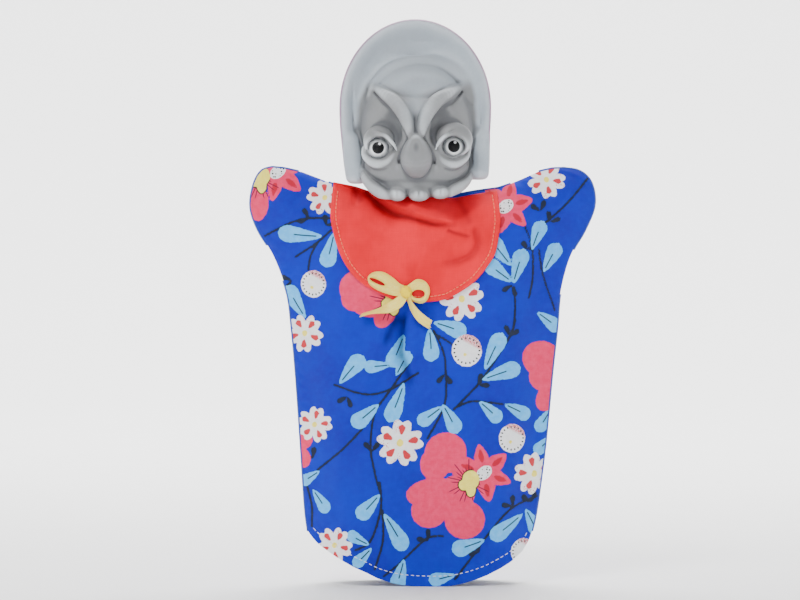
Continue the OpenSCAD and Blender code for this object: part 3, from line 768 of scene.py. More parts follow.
def vinyl_material():
    """Soft moulded vinyl: satin grey with a darker painted face and mauve outside; darker in the creases,
    partly a paint wash and partly painted shade, with a painted highlight on the raised ridges.
    """
    m = Nodes("grey_vinyl")
    co = m.coords()
    d_vec, _ = m.attribute("shade_highlight_and_paint")
    cavity, outer, face = m.split(d_vec)
    mottle = m.noise(co, 60.0, 4.0, 0.55)
    speck = m.noise(co, 900.0, 3.0, 0.6)
    cloud = m.noise(co, 22.0, 2.0)
    col = m.mix(m.step(mottle, 0.3, 0.7), rgb(0.35, 0.405, 0.46), rgb(0.41, 0.46, 0.51))
    face_c = m.mix(m.step(cloud, 0.3, 0.7), rgb(0.145, 0.145, 0.148), rgb(0.19, 0.187, 0.185))
    col = m.mix(m.mul(face, 0.85), col, face_c)
    # Darker in the creases and sockets: partly a paint wash, partly painted shade
    col = m.mix(m.mul(m.step(cavity, 0.05, 0.55), 0.86), col, rgb(0.085, 0.09, 0.10))
    # Painted highlight on the raised ridges and rims
    col = m.mix(m.mul(m.step(cavity, -0.15, -1.2), 0.8), col, rgb(0.66, 0.71, 0.75))
    col = m.mix(m.mul(outer, 0.92), col, rgb(0.24, 0.085, 0.20))
    grit = m.add(0.93, m.mul(speck, 0.14))
    m.put(m.mix(1.0, col, m.grey(grit), "MULTIPLY"), m.bsdf.inputs["Base Color"])
    rough = m.add(0.34, m.mul(mottle, 0.16))
    m.put(rough, m.bsdf.inputs["Roughness"])
    m.bsdf.inputs["Specular IOR Level"].default_value = 0.42
    fine = m.noise(co, 1500.0, 2.0)
    m.put(m.bump(m.add(m.mul(mottle, 3.0), fine), 0.12, 0.0002), m.bsdf.inputs["Normal"])
    return m.mat


def eye_material(name, pupil, catch):
    """Painted eye: white with painted shade at its edge under the lids, a black pupil and a painted
    catchlight.
    """
    m = Nodes(name)
    co = m.coords()
    x, _, z = m.split(co)

    def away(c):
        dx = m.sub(x, c[0] * MM)
        dz = m.sub(z, c[1] * MM)
        return m.mul(m.math("SQRT", m.add(m.mul(dx, dx),
                                                        m.mul(dz, dz))), 1000.0)

    n = m.noise(co, 300.0, 3.0)
    white = m.mix(n, rgb(0.86, 0.88, 0.90), rgb(0.95, 0.96, 0.97))
    r = away(pupil)
    # Painted shade towards the white's edge, under the lids
    col = m.mix(m.step(r, 3.3, 4.7), white, rgb(0.50, 0.53, 0.56))
    iris = m.mix(m.step(r, 2.1, 2.75), rgb(0.004, 0.004, 0.005), rgb(0.022, 0.024, 0.027))
    col = m.mix(m.step(r, 2.85, 3.1, 1.0, 0.0), col, iris)
    col = m.mix(m.step(away(catch), 0.55, 0.85, 1.0, 0.0), col, rgb(0.92, 0.93, 0.95))
    m.put(col, m.bsdf.inputs["Base Color"])
    m.put(m.add(0.30, m.mul(n, 0.1)), m.bsdf.inputs["Roughness"])
    m.bsdf.inputs["Coat Weight"].default_value = 0.05
    m.bsdf.inputs["Specular IOR Level"].default_value = 0.15
    m.bsdf.inputs["Coat Roughness"].default_value = 0.08
    return m.mat


PRINT = print_material()
RED = cotton_material("red_cotton", rgb(0.86, 0.004, 0.020), rgb(0.72, 0.001, 0.012), 0.40, 0.03)
RIBBON = ribbon_material()
KNOT_MAT = cotton_material("knot_ribbon", rgb(0.94, 0.70, 0.01), rgb(0.88, 0.55, 0.005), 0.5, 0.03)
WHITE_THREAD = thread_material("white_thread", rgb(0.78, 0.80, 0.86), rgb(0.45, 0.48, 0.60))
RED_THREAD = thread_material("red_thread", rgb(0.96, 0.20, 0.10), rgb(0.80, 0.06, 0.05))
CORD_MAT = thread_material("tie_cord", rgb(0.62, 0.62, 0.60), rgb(0.35, 0.35, 0.34))
BLUE_THREAD = thread_material("blue_thread", rgb(0.02, 0.06, 0.42), rgb(0.01, 0.02, 0.20))


# ---------------------------------------------------------------- glove
def even(chain, count):
    """Shares of a chain that lie evenly along it."""
    t = np.linspace(0, 1, 400)
    p = along(chain, t)
    s = np.concatenate([[0], np.cumsum(np.linalg.norm(np.diff(p, axis=0), axis=1))])
    return np.interp(np.linspace(0, s[-1], count), s, t)


COLS, ROWS = 186, 216
U, V = np.meshgrid(np.linspace(0, 1, COLS + 1), even(LEFT_EDGE, ROWS + 1))
FLAT = patch(LEFT_EDGE, RIGHT_EDGE, HEM_EDGE, TOP_EDGE, U, V)
EDGE = to_seam(FLAT)
# Cut lines of each arm: a point at the shoulder, the way out along the arm
ARM_CUT = {"left": ((-44, 200), (-0.909, 0.418)), "right": ((47.5, 199.5), (0.909, 0.418))}
WRIST_CUT = 13.5


def arm_share(p, side):
    o, n = ARM_CUT[side]
    return (p[..., 0] - o[0]) * n[0] + (p[..., 1] - o[1]) * n[1]


def fold_shade(p, side):
    """Painted shade in the deep valleys of the sharp folds, 0 to 1."""
    s = np.zeros(p.shape[:-1])
    for a, b, height, width, skew in (FRONT_FOLDS if side < 0 else BACK_FOLDS):
        if height < -1.2:
            s = s + np.abs(fold(p, a, b, 0.9, width * 0.8, skew))
    return np.stack([np.clip(s, 0, 1)] * 3, -1)


# How far the back's print is moved along, so that it isn't the front's in a mirror
BACK_SHIFT = (2.0, 9.0)


def build_glove(side, name, shift):
    """All cloth of the glove's front (side -1) or back (side 1)."""
    h = depth_at(FLAT, side)
    t = CLOTH_T * np.clip(EDGE / 2.0, 0.02, 1)
    outer = np.stack([FLAT[..., 0], side * h, FLAT[..., 1]], -1)
    inner = np.stack([FLAT[..., 0], side * (h - t), FLAT[..., 1]], -1)
    normals = grid_normals(outer)
    if (normals[ROWS // 2, COLS // 2, 1] > 0) != (side > 0):
        normals = -normals
    p = FLAT.copy()
    if side > 0:
        p = np.stack([shift[0] - p[..., 0], p[..., 1] + shift[1]], -1)
    leaf, rib, rib_u, stem, white, pink, rose, yellow, red = print_fields(p)
    vectors = {"print_a": np.stack([leaf, rib, stem], -1), "print_b": np.stack([white, pink, rose], -1),
               "print_c": np.stack([yellow, red, rib_u],
                                   -1), "flat": np.stack([p[..., 0], p[..., 1], EDGE], -1),
               "shade": fold_shade(FLAT, side)}
    quads = np.stack([p[:-1, :-1], p[:-1, 1:], p[1:, 1:], p[1:, :-1]], -2)
    corner = {"marks": marks(quads)}
    if side > 0:
        outer, inner, normals = outer[:, ::-1], inner[:, ::-1], normals[:, ::-1]
        vectors = {k: v[:, ::-1] for k, v in vectors.items()}
        quads2 = np.stack([p[:-1, 1:], p[:-1, :-1], p[1:, :-1], p[1:, 1:]], -2)[:, ::-1]
        corner = {"marks": marks(quads2)}
    flat = FLAT if side < 0 else FLAT[:, ::-1]
    mid = (flat[:-1, :-1] + flat[1:, 1:] + flat[:-1, 1:] + flat[1:, :-1]) / 4
    left, right = arm_share(mid, "left"), arm_share(mid, "right")
    masks = {"torso": (left <= 0) & (right <= 0)}
    for arm, s in (("left", left), ("right", right)):
        masks[arm + "_sleeve"] = (s > 0) & (s <= WRIST_CUT)
        masks[arm + "_mitt"] = s > WRIST_CUT
    for part, mask in masks.items():
        label = f"{name}_panel_cloth" if part == "torso" else f"{part}_{name}_cloth"
        obj = sheet_mesh(label, outer, inner, mask, PRINT, vectors, corner, normals)
        node = f"{name}_panel" if part == "torso" else f"{part}_{name}"
        if part == "torso":
            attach(obj, "torso")
            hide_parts(node, f"{name}_hem")
        else:
            arm = part.split("_")[0]
            if part.endswith("sleeve"):
                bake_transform(obj)
                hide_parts(node)
            else:
                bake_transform(obj)
                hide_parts(node, *([f"{arm}_mitt_seam"] if side < 0 else []))


build_glove(-1, "front", None)
build_glove(1, "back", BACK_SHIFT)


# ---------------------------------------------------------------- head, a field of signed distances in mm
CAMERA_Y, CAMERA_X, CAMERA_Z = -1600.0, -8.0, 141.5


def seen(x, z, y):
    """The place at depth y that the camera sees at [x, z] of the middle plane."""
    k = (y - CAMERA_Y) / -CAMERA_Y
    return np.array([CAMERA_X + (x - CAMERA_X) * k, y, CAMERA_Z + (z - CAMERA_Z) * k])


class Field:
    """A grid of signed distances, less than 0 inside, that shapes are blended into."""

    def __init__(self, low, high, step):
        self.low, self.step = np.array(low, float), step
        self.n = tuple(int(math.ceil((b - a) / step)) + 1 for a, b in zip(low, high))
        self.axes = [low[k] + step * np.arange(self.n[k]) for k in range(3)]
        self.v = np.full(self.n, 60.0, np.float32)

    def points(self, box):
        axes = [self.axes[k][box[k]].astype(np.float32) for k in range(3)]
        return np.meshgrid(*axes, indexing="ij", sparse=True)

    def near(self, low, high, pad):
        out = []
        for k in range(3):
            a = int(np.clip(np.searchsorted(self.axes[k], low[k] - pad), 0, self.n[k]))
            b = int(np.clip(np.searchsorted(self.axes[k], high[k] + pad), 0, self.n[k]))
            out.append(slice(a, b))
        return tuple(out)

    def add(self, box, d, k):
        self.v[box] = soft_min(self.v[box], d, k)

    def cut(self, box, d, k):
        self.v[box] = -soft_min(-self.v[box], d, k)

    def stroke(self, pts, radii, k=1.0, cut=False, flat=1.0):
        """A chain of round cones, added or cut; the chain is smoothed first."""
        pts, radii = np.array(pts, float), np.array(radii, float)
        t = np.linspace(0, 1, 4 * (len(pts) - 1) + 1)
        c = along(np.column_stack([pts, radii]), t)
        c[:, 3] = np.maximum(c[:, 3], 0.2)
        pad = max(k, 0.5) * 1.5 + 2
        box = self.near(c[:, :3].min(0) - radii.max(), c[:, :3].max(0) + radii.max(), pad)
        x, y, z = self.points(box)
        d = None
        for a, b in zip(c[:-1], c[1:]):
            e = b[:3] - a[:3]
            h = ((x - a[0]) * e[0] + (y - a[1]) * e[1] + (z - a[2]) * e[2]) / max(e @ e, 1e-9)
            h = np.clip(h, 0, 1)
            dx, dy, dz = x - a[0] - h * e[0], (y - a[1] - h * e[1]) / flat, z - a[2] - h * e[2]
            s = np.sqrt(dx * dx + dy * dy + dz * dz) - (a[3] + (b[3] - a[3]) * h)
            d = s if d is None else np.minimum(d, s)
        (self.cut if cut else self.add)(box, d.astype(np.float32), k)

    def ball(self, centre, radii, k=1.0, cut=False, turn=0.0):
        """An ellipsoid, turned about y by some degrees."""
        c, r = np.array(centre, float), np.array(radii, float)
        reach = max(r[0], r[2]) if turn else 0
        half = np.array([max(r[0], reach), r[1], max(r[2], reach)])
        box = self.near(c - half, c + half, max(k, 0.5) * 1.5 + 2)
        x, y, z = self.points(box)
        d = ellipsoid(x - c[0], y - c[1], z - c[2], r, turn)
        (self.cut if cut else self.add)(box, d.astype(np.float32), k)

    def at(self, p):
        """Values at points, linear between the grid's."""
        g = (np.asarray(p) - self.low) / self.step
        i = np.clip(np.floor(g).astype(int), 0, np.array(self.n) - 2)
        f = g - i
        out = 0
        for a in (0, 1):
            for b in (0, 1):
                for c in (0, 1):
                    w = f[:, 0] if a else 1 - f[:, 0]
                    w = w * (f[:, 1] if b else 1 - f[:, 1])
                    w = w * (f[:, 2] if c else 1 - f[:, 2])
                    out = out + w * self.v[i[:, 0] + a, i[:, 1] + b, i[:, 2] + c]
        return out


def soft_min(a, b, k):
    if np.isscalar(k) and k <= 0:
        return np.minimum(a, b)
    h = np.clip(0.5 + 0.5 * (b - a) / k, 0, 1)
    return b * (1 - h) + a * h - k * h * (1 - h)


def ellipsoid(x, y, z, r, turn=0.0):
    if turn:
        ca, sa = math.cos(math.radians(turn)), math.sin(math.radians(turn))
        x, z = x * ca + z * sa, -x * sa + z * ca
    k0 = np.sqrt((x / r[0]) ** 2 + (y / r[1]) ** 2 + (z / r[2]) ** 2)
    k1 = np.sqrt((x / r[0] ** 2) ** 2 + (y / r[1] ** 2) ** 2 + (z / r[2] ** 2) ** 2)
    return np.where(k0 < 1e-3, -min(r), k0 * (k0 - 1) / np.maximum(k1, 1e-6))


def blurred(v, n, times=2):
    """Box blur over 2n + 1 cells along each axis."""
    for _ in range(times):
        for ax in range(3):
            pad = [(0, 0)] * 3
            pad[ax] = (n + 1, n)
            c = np.cumsum(np.pad(v, pad, mode="edge"), axis=ax, dtype=np.float64)
            m = v.shape[ax]
            hi = np.take(c, np.arange(2 * n + 1, 2 * n + 1 + m), axis=ax)
            lo = np.take(c, np.arange(0, m), axis=ax)
            v = ((hi - lo) / (2 * n + 1)).astype(np.float32)
    return v


FACE_C, FACE_R = np.array([0.5, -4.0, 227.8]), np.array([28.8, 30.0, 32.6])


def on_face(x, z, lift=0.0):
    """Point of the face seen at [x, z], lift mm in front of its surface."""
    y = -30.0
    for _ in range(3):
        p = seen(x, z, y)
        q = ((p - FACE_C) / FACE_R)[[0, 2]]
        y = FACE_C[1] - FACE_R[1] * math.sqrt(max(1 - q @ q, 0.04))
    return seen(x, z, y - lift)


def face_line(places, radii, lift):
    return [on_face(x, z, l) for (x, z), l in zip(places, np.broadcast_to(lift, len(places)))], radii


def build_face(f):
    f.ball(FACE_C, FACE_R, 0)
    # Lower cheeks, full jaw
    f.ball((-13.0, -14.0, 207.8), (12.6, 13.5, 10.6), 5)
    f.ball((13.6, -14.0, 208.3), (12.6, 13.5, 10.6), 5)
    f.ball((0.5, -17.5, 204.5), (17.0, 11.5, 8.6), 5)
    # Forehead: a raised edge around a dish that narrows between the brows
    f.stroke(*face_line([(-22.6, 244), (-19.2, 250.3), (-11.8, 257.0), (-1.1, 260.2), (8.9, 259.4),
                         (17.6, 255.8),
                         (23.4, 249.6), (25.5, 243)], [1.2, 2.4, 3.0, 3.0, 3.0, 2.6, 2.2, 1.2], -0.8), 3.5)
    f.ball(on_face(1.4, 250.0, 1.4), (12.5, 4.6, 7.6), 5.0, cut=True)
    f.stroke(*face_line([(1.2, 248), (0.7, 240), (0.3, 231.5)], [3.6, 2.2, 1.2], 1.2), 2.5, cut=True)
    # Eye sockets
    f.ball(on_face(-17.6, 224.0, 2.6), (10.4, 5.0, 9.6), 3.5, cut=True)
    f.ball(on_face(17.8, 225.0, 2.6), (10.8, 5.0, 10.2), 3.5, cut=True)
    f.ball(on_face(-12.5, 232.5, 1.2), (6.6, 3.4, 4.8), 3.0, cut=True, turn=-50)
    f.ball(on_face(13.5, 234.0, 1.2), (6.6, 3.4, 4.8), 3.0, cut=True, turn=50)
    # Lids: domes over the eyes
    for c, r in (((-18.4, 221.0), (7.8, 5.0, 7.6)), ((18.6, 221.6), (9.6, 5.0, 8.6))):
        f.ball(on_face(*c, -0.6), r, 1.2)
    # Upper lid folds, from the inner corner over the eye and down outside it
    f.stroke(*face_line([(-25.2, 217.2), (-24.4, 221.8), (-20.8, 224.4), (-15.6, 223.6), (-11.4, 219.6),
                         (-9.6, 216.2)],
                        [0.5, 0.9, 1.2, 1.2, 0.9, 0.5], [1.2, 2.6, 3.9, 4.1, 3.0, 1.8]), 1.0)
    f.stroke(*face_line([(9.8, 216.6), (11.6, 220.6), (15.4, 223.8), (20.6, 224.8), (25.4, 222.6),
                         (27.2, 218.4)],
                        [0.5, 0.9, 1.2, 1.2, 1.0, 0.5], [1.8, 3.0, 4.1, 4.1, 2.8, 1.4]), 1.0)
    # Bags below the eyes
    for pts, r in (([(-26.4, 217.6, -20.0), (-25.2, 213.0, -23.0), (-20.4, 209.6, -26.0),
                     (-14.6, 210.4, -27.0), (-10.6, 214.4, -27.4)], [0.8, 1.9, 2.5, 2.2, 1.2]),
                   ([(10.6, 214.8, -27.4), (13.8, 210.8, -27.0), (19.2, 209.4, -26.0), (24.4, 212.6, -23.2),
                     (27.0, 218.0, -19.6)], [1.2, 2.2, 2.5, 2.0, 0.8])):
        f.stroke([seen(x, z, y) for x, z, y in pts], r, 1.0)
    for pts in ([(-28.4, 214.0, -21.5), (-25.6, 208.6, -24.4), (-20.2, 205.9, -27.0), (-15.0, 206.6, -28.6)],
                [(14.4, 206.9, -28.6), (19.4, 205.8, -27.0), (25.2, 208.4, -24.0), (28.6, 213.6, -20.8)]):
        f.stroke([seen(x, z, y) for x, z, y in pts], [0.4, 0.9, 1.0, 0.4], 1.4, cut=True)
    # Brows, thick ridges that run down to the beak, with a crease below each
    f.stroke(*face_line([(-21.6, 248.6), (-16.0, 244.6), (-10.8, 240.8), (-6.6, 235.4), (-4.1, 229.6),
                         (-2.6, 224.5)],
                        [0.5, 2.5, 3.5, 3.6, 3.0, 2.0], [0.2, 0.9, 1.3, 1.5, 1.4, 1.6]), 2.2)
    f.stroke(*face_line([(23.2, 248.6), (16.8, 245.0), (11.2, 241.8), (6.9, 236.8), (4.1, 231.0),
                         (2.6, 225.0)],
                        [0.5, 2.6, 3.5, 3.6, 3.0, 2.0], [0.2, 0.9, 1.3, 1.5, 1.4, 1.6]), 2.2)
    f.stroke(*face_line([(-21.8, 246.8), (-16.8, 240.6), (-12.2, 236.0), (-8.3, 230.2), (-6.2, 224.4)],
                        [0.35, 0.8, 1.0, 0.9, 0.5], 0.7), 0.8, cut=True)
    f.stroke(*face_line([(23.6, 247.2), (19.2, 240.8), (12.8, 236.9), (8.1, 231.8), (6.2, 225.4)],
                        [0.35, 0.8, 1.0, 0.9, 0.5], 0.7), 0.8, cut=True)
    # Beak
    f.stroke(*face_line([(-0.1, 221.4), (0.0, 218.6), (0.1, 215.4), (0.2, 212.2), (0.3, 208.8)],
                        [3.2, 5.0, 6.8, 7.8, 6.2],
                        [3.4, 2.8, 1.8, 1.4, 2.6]), 1.0)
    f.stroke(*face_line([(-5.6, 221.0), (-8.3, 213.5), (-7.4, 206.0), (0.3, 202.0), (8.0, 206.0),
                         (8.9, 213.5), (5.8, 221.0)],
                        [0.2, 0.5, 0.7, 0.8, 0.7, 0.5, 0.2], 0.9), 1.0, cut=True)
    # Collar under the chin: a band that wraps each end and three lumps with fine vertical creases
    f.stroke([seen(x, z, y)
              for x, z, y in ((-26.0, 207.0, -14), (-24.6, 202.6, -18), (-21.5, 198.3, -21),
                              (-17.4, 195.2, -23),
                                            (-13.6, 193.9, -24))], [1.4, 2.9, 3.2, 3.0, 2.2], 1.0)
    f.stroke([seen(x, z, y)
              for x, z, y in ((27.6, 207.6, -13), (25.4, 202.0, -17), (21.5, 198.2, -20.5),
                              (17.0, 195.6, -23))],
             [1.4, 2.6, 3.0, 2.6], 1.0)
    for x, z, rx, rz in ((-9.4, 194.5, 4.9, 3.6), (1.5, 194.6, 5.6, 3.8), (12.2, 195.3, 5.0, 3.3)):
        f.ball(seen(x, z, -23.2), (rx, 4.6, rz), 0.7)
        for k in (-0.5, 0.0, 0.5):
            f.stroke([seen(x + k * rx, z - rz, -27.2), seen(x + k * rx * 1.1, z + rz * 0.8, -27.4)],
                     [0.22, 0.3], 0.5, cut=True)
    f.stroke([seen(x, z, y)
              for x, z, y in ((-26.8, 208.0, -19), (-21.6, 200.9, -24.4), (-13.2, 197.5, -27.6),
                              (-1.1, 197.3, -28.6),
                                            (9.6, 198.0, -28.0), (19.0, 200.4, -25.2), (26.8, 207.6, -18.6))],
             [0.5, 0.7, 0.8, 0.8, 0.8, 0.7, 0.5], 1.0, cut=True)
    f.ball((0.3, -13.0, 198.2), (21.5, 14.0, 6.0), 2.0)
    # Laugh lines from the beak over the cheeks
    f.stroke(*face_line([(-8.6, 204.6), (-14.2, 202.4), (-19.6, 203.4)], [0.3, 0.6, 0.3], 0.9), 1.2, cut=True)
    f.stroke(*face_line([(9.2, 204.8), (15.0, 202.8), (20.6, 204.2)], [0.3, 0.6, 0.3], 0.9), 1.2, cut=True)


# Hood: centre, half width, half depth, half height above the centre and below it
HOOD_C, HOOD_HALF, HOOD_UP, HOOD_DOWN = (-0.4, -6.0, 237.3), (37.8, 40.5), 43.9, 72.0


def build_hood(f):
    box = tuple(slice(0, n) for n in f.n)
    x, y, z = f.points(box)
    back = np.maximum(y - HOOD_C[1], 0)
    up = ellipsoid(x - HOOD_C[0], back, z - HOOD_C[2], (*HOOD_HALF, HOOD_UP))
    down = ellipsoid(x - HOOD_C[0], back, z - HOOD_C[2], (*HOOD_HALF, HOOD_DOWN))
    f.v[:] = np.where(z > HOOD_C[2], up, down)
    f.cut(box, y + 12.6 + 0 * x + 0 * z, 4.5)
    f.cut(box, z - 201.5 - 0.3 * np.maximum(y + 4, 0) + 0.16 * 4 + 0 * x, 6.0)
    f.ball((-0.3, -24.0, 238.0), (37.6, 26.5, 43.6), 4.0, cut=True)
    f.stroke([(-31.4, -9, 220), (-30.8, -10, 211), (-29.4, -10.5, 203.2)], [3.6, 4.6, 5.5], 3.0)
    f.stroke([(32.0, -9, 221), (31.9, -10, 212), (30.8, -10.5, 205.2)], [3.6, 4.6, 5.5], 3.0)
    f.cut(box, np.maximum(z - 199.2, x) + 0 * y, 1.6)
    f.cut(box, np.maximum(z - 201.2, -x) + 0 * y, 1.6)


EYES, EYE_R = ((-18.6, -22.0, 216.4), (18.4, -22.0, 217.0)), 6.0
# Openings between the lids as the camera sees them: centre, half width, half height
EYE_HOLES, EYE_HOLE_Y = (((-18.7, 217.9), 5.3, 4.9), ((18.9, 218.3), 5.8, 4.7)), -28
NECK_R, BORE_R = 12.7, 11.0


def build_head():
    step = 0.72
    low, high = (-42, -40.5, 183), (42, 38, 284)
    hood, face = Field(low, high, step), Field(low, high, step)
    build_hood(hood)
    build_face(face)
    total = Field(low, high, step)
    zs = total.axes[2][None, None, :].astype(np.float32)
    total.v = soft_min(hood.v, face.v, 1.8 + 9.0 * smoothstep((zs - 218) / 24)).astype(np.float32)
    total.stroke([(0, 0, 198), (0, 0, 208)], [NECK_R, NECK_R], 2.0)
    box = tuple(slice(0, n) for n in total.n)
    x, y, z = total.points(box)
    total.add(box, (np.maximum(np.hypot(x, y) - NECK_R, np.abs(z - 195) - 9.6)).astype(np.float32), 0.8)
    total.cut(box, z - 185.2 + 0 * x + 0 * y, 0.6)
    total.cut(box, np.maximum(np.hypot(x, y) - BORE_R, z - 216) + 0 * x, 0.6)
    total.ball((-0.7, 3.0, 236.0), (25, 25, 25), 0.6, cut=True)
    for (ex, ey, ez), ((ox, oz), rx, rz) in zip(EYES, EYE_HOLES):
        hole = seen(ox, oz, EYE_HOLE_Y)
        total.ball((hole[0], -31, hole[2]), (rx, 14, rz), 0.8, cut=True)
        total.ball((ex, ey, ez), (EYE_R + 0.12,) * 3, 0, cut=True)
    # The hole cut runs on behind the eye, so the socket's floor is put back
    for ex, ey, ez in EYES:
        core = Field(low, high, step)
        core.ball((ex, -19.0, ez), (7.4, 7.6, 7.4), 0)
        core.ball((ex, ey, ez), (EYE_R + 0.12,) * 3, 0, cut=True)
        core.cut(box, y + 24 + 0 * x + 0 * z, 0.4)
        total.v = soft_min(total.v, core.v, 0.6)
    grid = openvdb.FloatGrid(60.0)
    grid.copyFromArray(np.ascontiguousarray(total.v))
    pts, tris, quads = grid.convertToPolygons(0.0, 0.0)
    pts = np.asarray(pts) * step + np.array(low)
    quads, tris = np.asarray(quads, int), np.asarray(tris, int)
    a, b, c, d = (pts[quads[:, k]] for k in range(4))
    volume = (np.einsum("ij,ij->i", a, np.cross(b, c)) + np.einsum("ij,ij->i", a, np.cross(c, d))).sum()
    if volume < 0:
        quads, tris = quads[:, ::-1], tris[:, ::-1]
    obj = mesh_object("owl_head", pts, quads.tolist() + tris.tolist(), vinyl_material())
    # cavity drives painted shade in the hollows (above 0) and a painted highlight on the ridges (below 0)
    wide = Field(low, high, step)
    wide.v = blurred(np.clip(total.v, -6, 6), 2)
    narrow = Field(low, high, step)
    narrow.v = blurred(np.clip(total.v, -6, 6), 1)
    cavity = -(wide.at(pts) + 1.4 * narrow.at(pts)) / 0.9
    on_hood, on_the_face = hood.at(pts), face.at(pts)
    hx, hy, hz = (pts - HOOD_C).T
    reach = np.sqrt((hx / HOOD_HALF[0]) ** 2 + (np.maximum(hy, 0) / HOOD_HALF[1]) ** 2
                    + (hz / np.where(hz > 0, HOOD_UP, HOOD_DOWN)) ** 2)
    outer = smoothstep((pts[:, 1] + 11.5) / 0.8) * smoothstep((reach - 0.92) / 0.05)
    outer = outer * smoothstep((pts[:, 2] - 199) / 3)
    # A dark line round each eye opening, added to the crease darkening
    for (ox, oz), rx, rz in EYE_HOLES:
        hole = seen(ox, oz, EYE_HOLE_Y)
        d = oval(np.stack([pts[:, 0] - hole[0], pts[:, 2] - hole[2]], -1), rx, rz)
        cavity = cavity + 1.1 * np.exp(-((d - 0.1) / 0.55) ** 2) * (pts[:, 1] < -20)
    # Painted shade in the sockets under the brows, in the forehead's dish, under the chin and in the hood's
    # dish
    for (ax, az), wx, wz, much in (((-14.5, 231.0), 5.5, 6.0, 0.45), ((15.5, 232.0), 6.0, 6.5, 0.5),
                                   ((0.5, 252.0), 11.0, 6.0, 0.32),
                                   ((0, 201.5), 13, 3.2, 0.4), ((-0.3, 272.0), 22, 7, 0.12)):
        d = ((pts[:, 0] - ax) / wx) ** 2 + ((pts[:, 2] - az) / wz) ** 2
        cavity = cavity + much * np.exp(-d) * (pts[:, 1] < 8)
    # Less painted shade along the hood's edge and between the brows, and less painted highlight on the upper
    # lids
    calm = 0.85 * smoothstep((pts[:, 2] - 224) / 14) * (np.abs(on_hood) < 4)
    between = np.exp(-(pts[:, 0] / 5) ** 2 - ((pts[:, 2] - 237) / 9) ** 2) * (pts[:, 1] < 0)
    lids = np.exp(-((np.abs(pts[:, 0]) - 18.6) / 9) ** 2 - ((pts[:, 2] - 224.5) / 5) ** 2) * (pts[:, 1] < -15)
    cavity = np.where(cavity > 0, cavity * (1 - calm) * (1 - 0.8 * between), cavity * (1 - 0.85 * lids))
    facing = smoothstep((on_hood - on_the_face + 2.0) / 5.0)
    brow = 238 + 0.30 * np.abs(pts[:, 0])
    facing = facing * (1 - 0.75 * smoothstep((pts[:, 2] - brow) / 7)) * (1 - 0.6 * between)
    # Painted shade and highlight, the mauve paint outside and the face's paint
    point_vector(obj.data, "shade_highlight_and_paint", np.stack([cavity, np.clip(outer, 0, 1), facing], -1))
    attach(obj, "head")
    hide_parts("head_moulding")


build_head()


def paint(node, material):
    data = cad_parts[node].data
    data.materials.clear()
    data.materials.append(material)
    for p in data.polygons:
        p.use_smooth = True


for which, centre, catch in (("left", (-18.8, 216.3), (-18.0, 218.3)),
                             ("right", (18.5, 217.0), (19.1, 219.0))):
    paint(f"{which}_eye", eye_material(f"{which}_eye_paint", centre, catch))
    paint(f"{which}_pupil", eye_material(f"{which}_pupil_paint", centre, catch))


# ---------------------------------------------------------------- seams and hem stitches
def seam_thread(name, path, node, place):
    """Thread and rolled edge along a seam; place puts it on its body."""
    p = np.array([(x, 0.0, z) for x, z in path])
    obj = tube(name, p, 0.62, BLUE_THREAD)
    place(obj)
    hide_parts(node)


EDGE_L, EDGE_R, EDGE_T = FLAT[:, 0], FLAT[:, -1], FLAT[-1]
for arm, edge in (("left", EDGE_L), ("right", EDGE_R)):
    s_edge, s_top = arm_share(edge, arm), arm_share(EDGE_T, arm)
    seam_thread(f"{arm}_side_thread", edge[(s_edge <= 0)][::2], f"{arm}_side_seam",
                lambda o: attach(o, "torso"))
    near = (EDGE_T[:, 0] < 0) if arm == "left" else (EDGE_T[:, 0] > 0)
    seam_thread(f"{arm}_shoulder_thread",
                EDGE_T[near & (s_top <= 0) & (np.abs(EDGE_T[:, 0]) >= NECK_HALF)][::2],
                f"{arm}_shoulder_seam", lambda o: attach(o, "torso"))
    around = np.concatenate([edge[s_edge > WRIST_CUT + 1],
                             (EDGE_T if arm == "left" else EDGE_T[::-1])[
                                 (near & (s_top > WRIST_CUT + 1))[::1 if arm == "left" else -1]]])
    seam_thread(f"{arm}_mitt_thread", around[::2], f"{arm}_mitt_seam",
                lambda o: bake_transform(o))


def stitches(name, line, side, lift, pitch, share, radius, material, node, body):
    """Short stitches along a flat line, on the cloth's surface."""
    t = np.linspace(0, 1, 600)
    c = along(line, t)
    s = np.concatenate([[0], np.cumsum(np.linalg.norm(np.diff(c, axis=0), axis=1))])
    rng = np.random.default_rng(5)
    made = []
    for a in np.arange(0.6, s[-1] - pitch, pitch):
        k = np.linspace(a, a + pitch * share * rng.uniform(0.9, 1.1), 5)
        q = np.stack([np.interp(k, s, c[:, 0]), np.interp(k, s, c[:, 1])], -1)
        h = depth_at(q, side) + lift(q) + radius * np.array([-0.9, 0.5, 0.9, 0.5, -0.9])
        made.append(tube("stitch", np.stack([q[:, 0], side * h, q[:, 1]], -1), radius, material, 6))
    obj = join(name, made)
    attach(obj, body)
    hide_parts(node)


HEM_LINE = [(x, z + 5.2) for x, z in HEM_EDGE[1:-1]]
for side, which in ((-1, "front"), (1, "back")):
    stitches(f"{which}_hem_stitches", HEM_LINE, side, lambda q: 0 * q[:, 0], 2.7, 0.66, 0.2, WHITE_THREAD,
             f"{which}_hem_stitching", "torso")


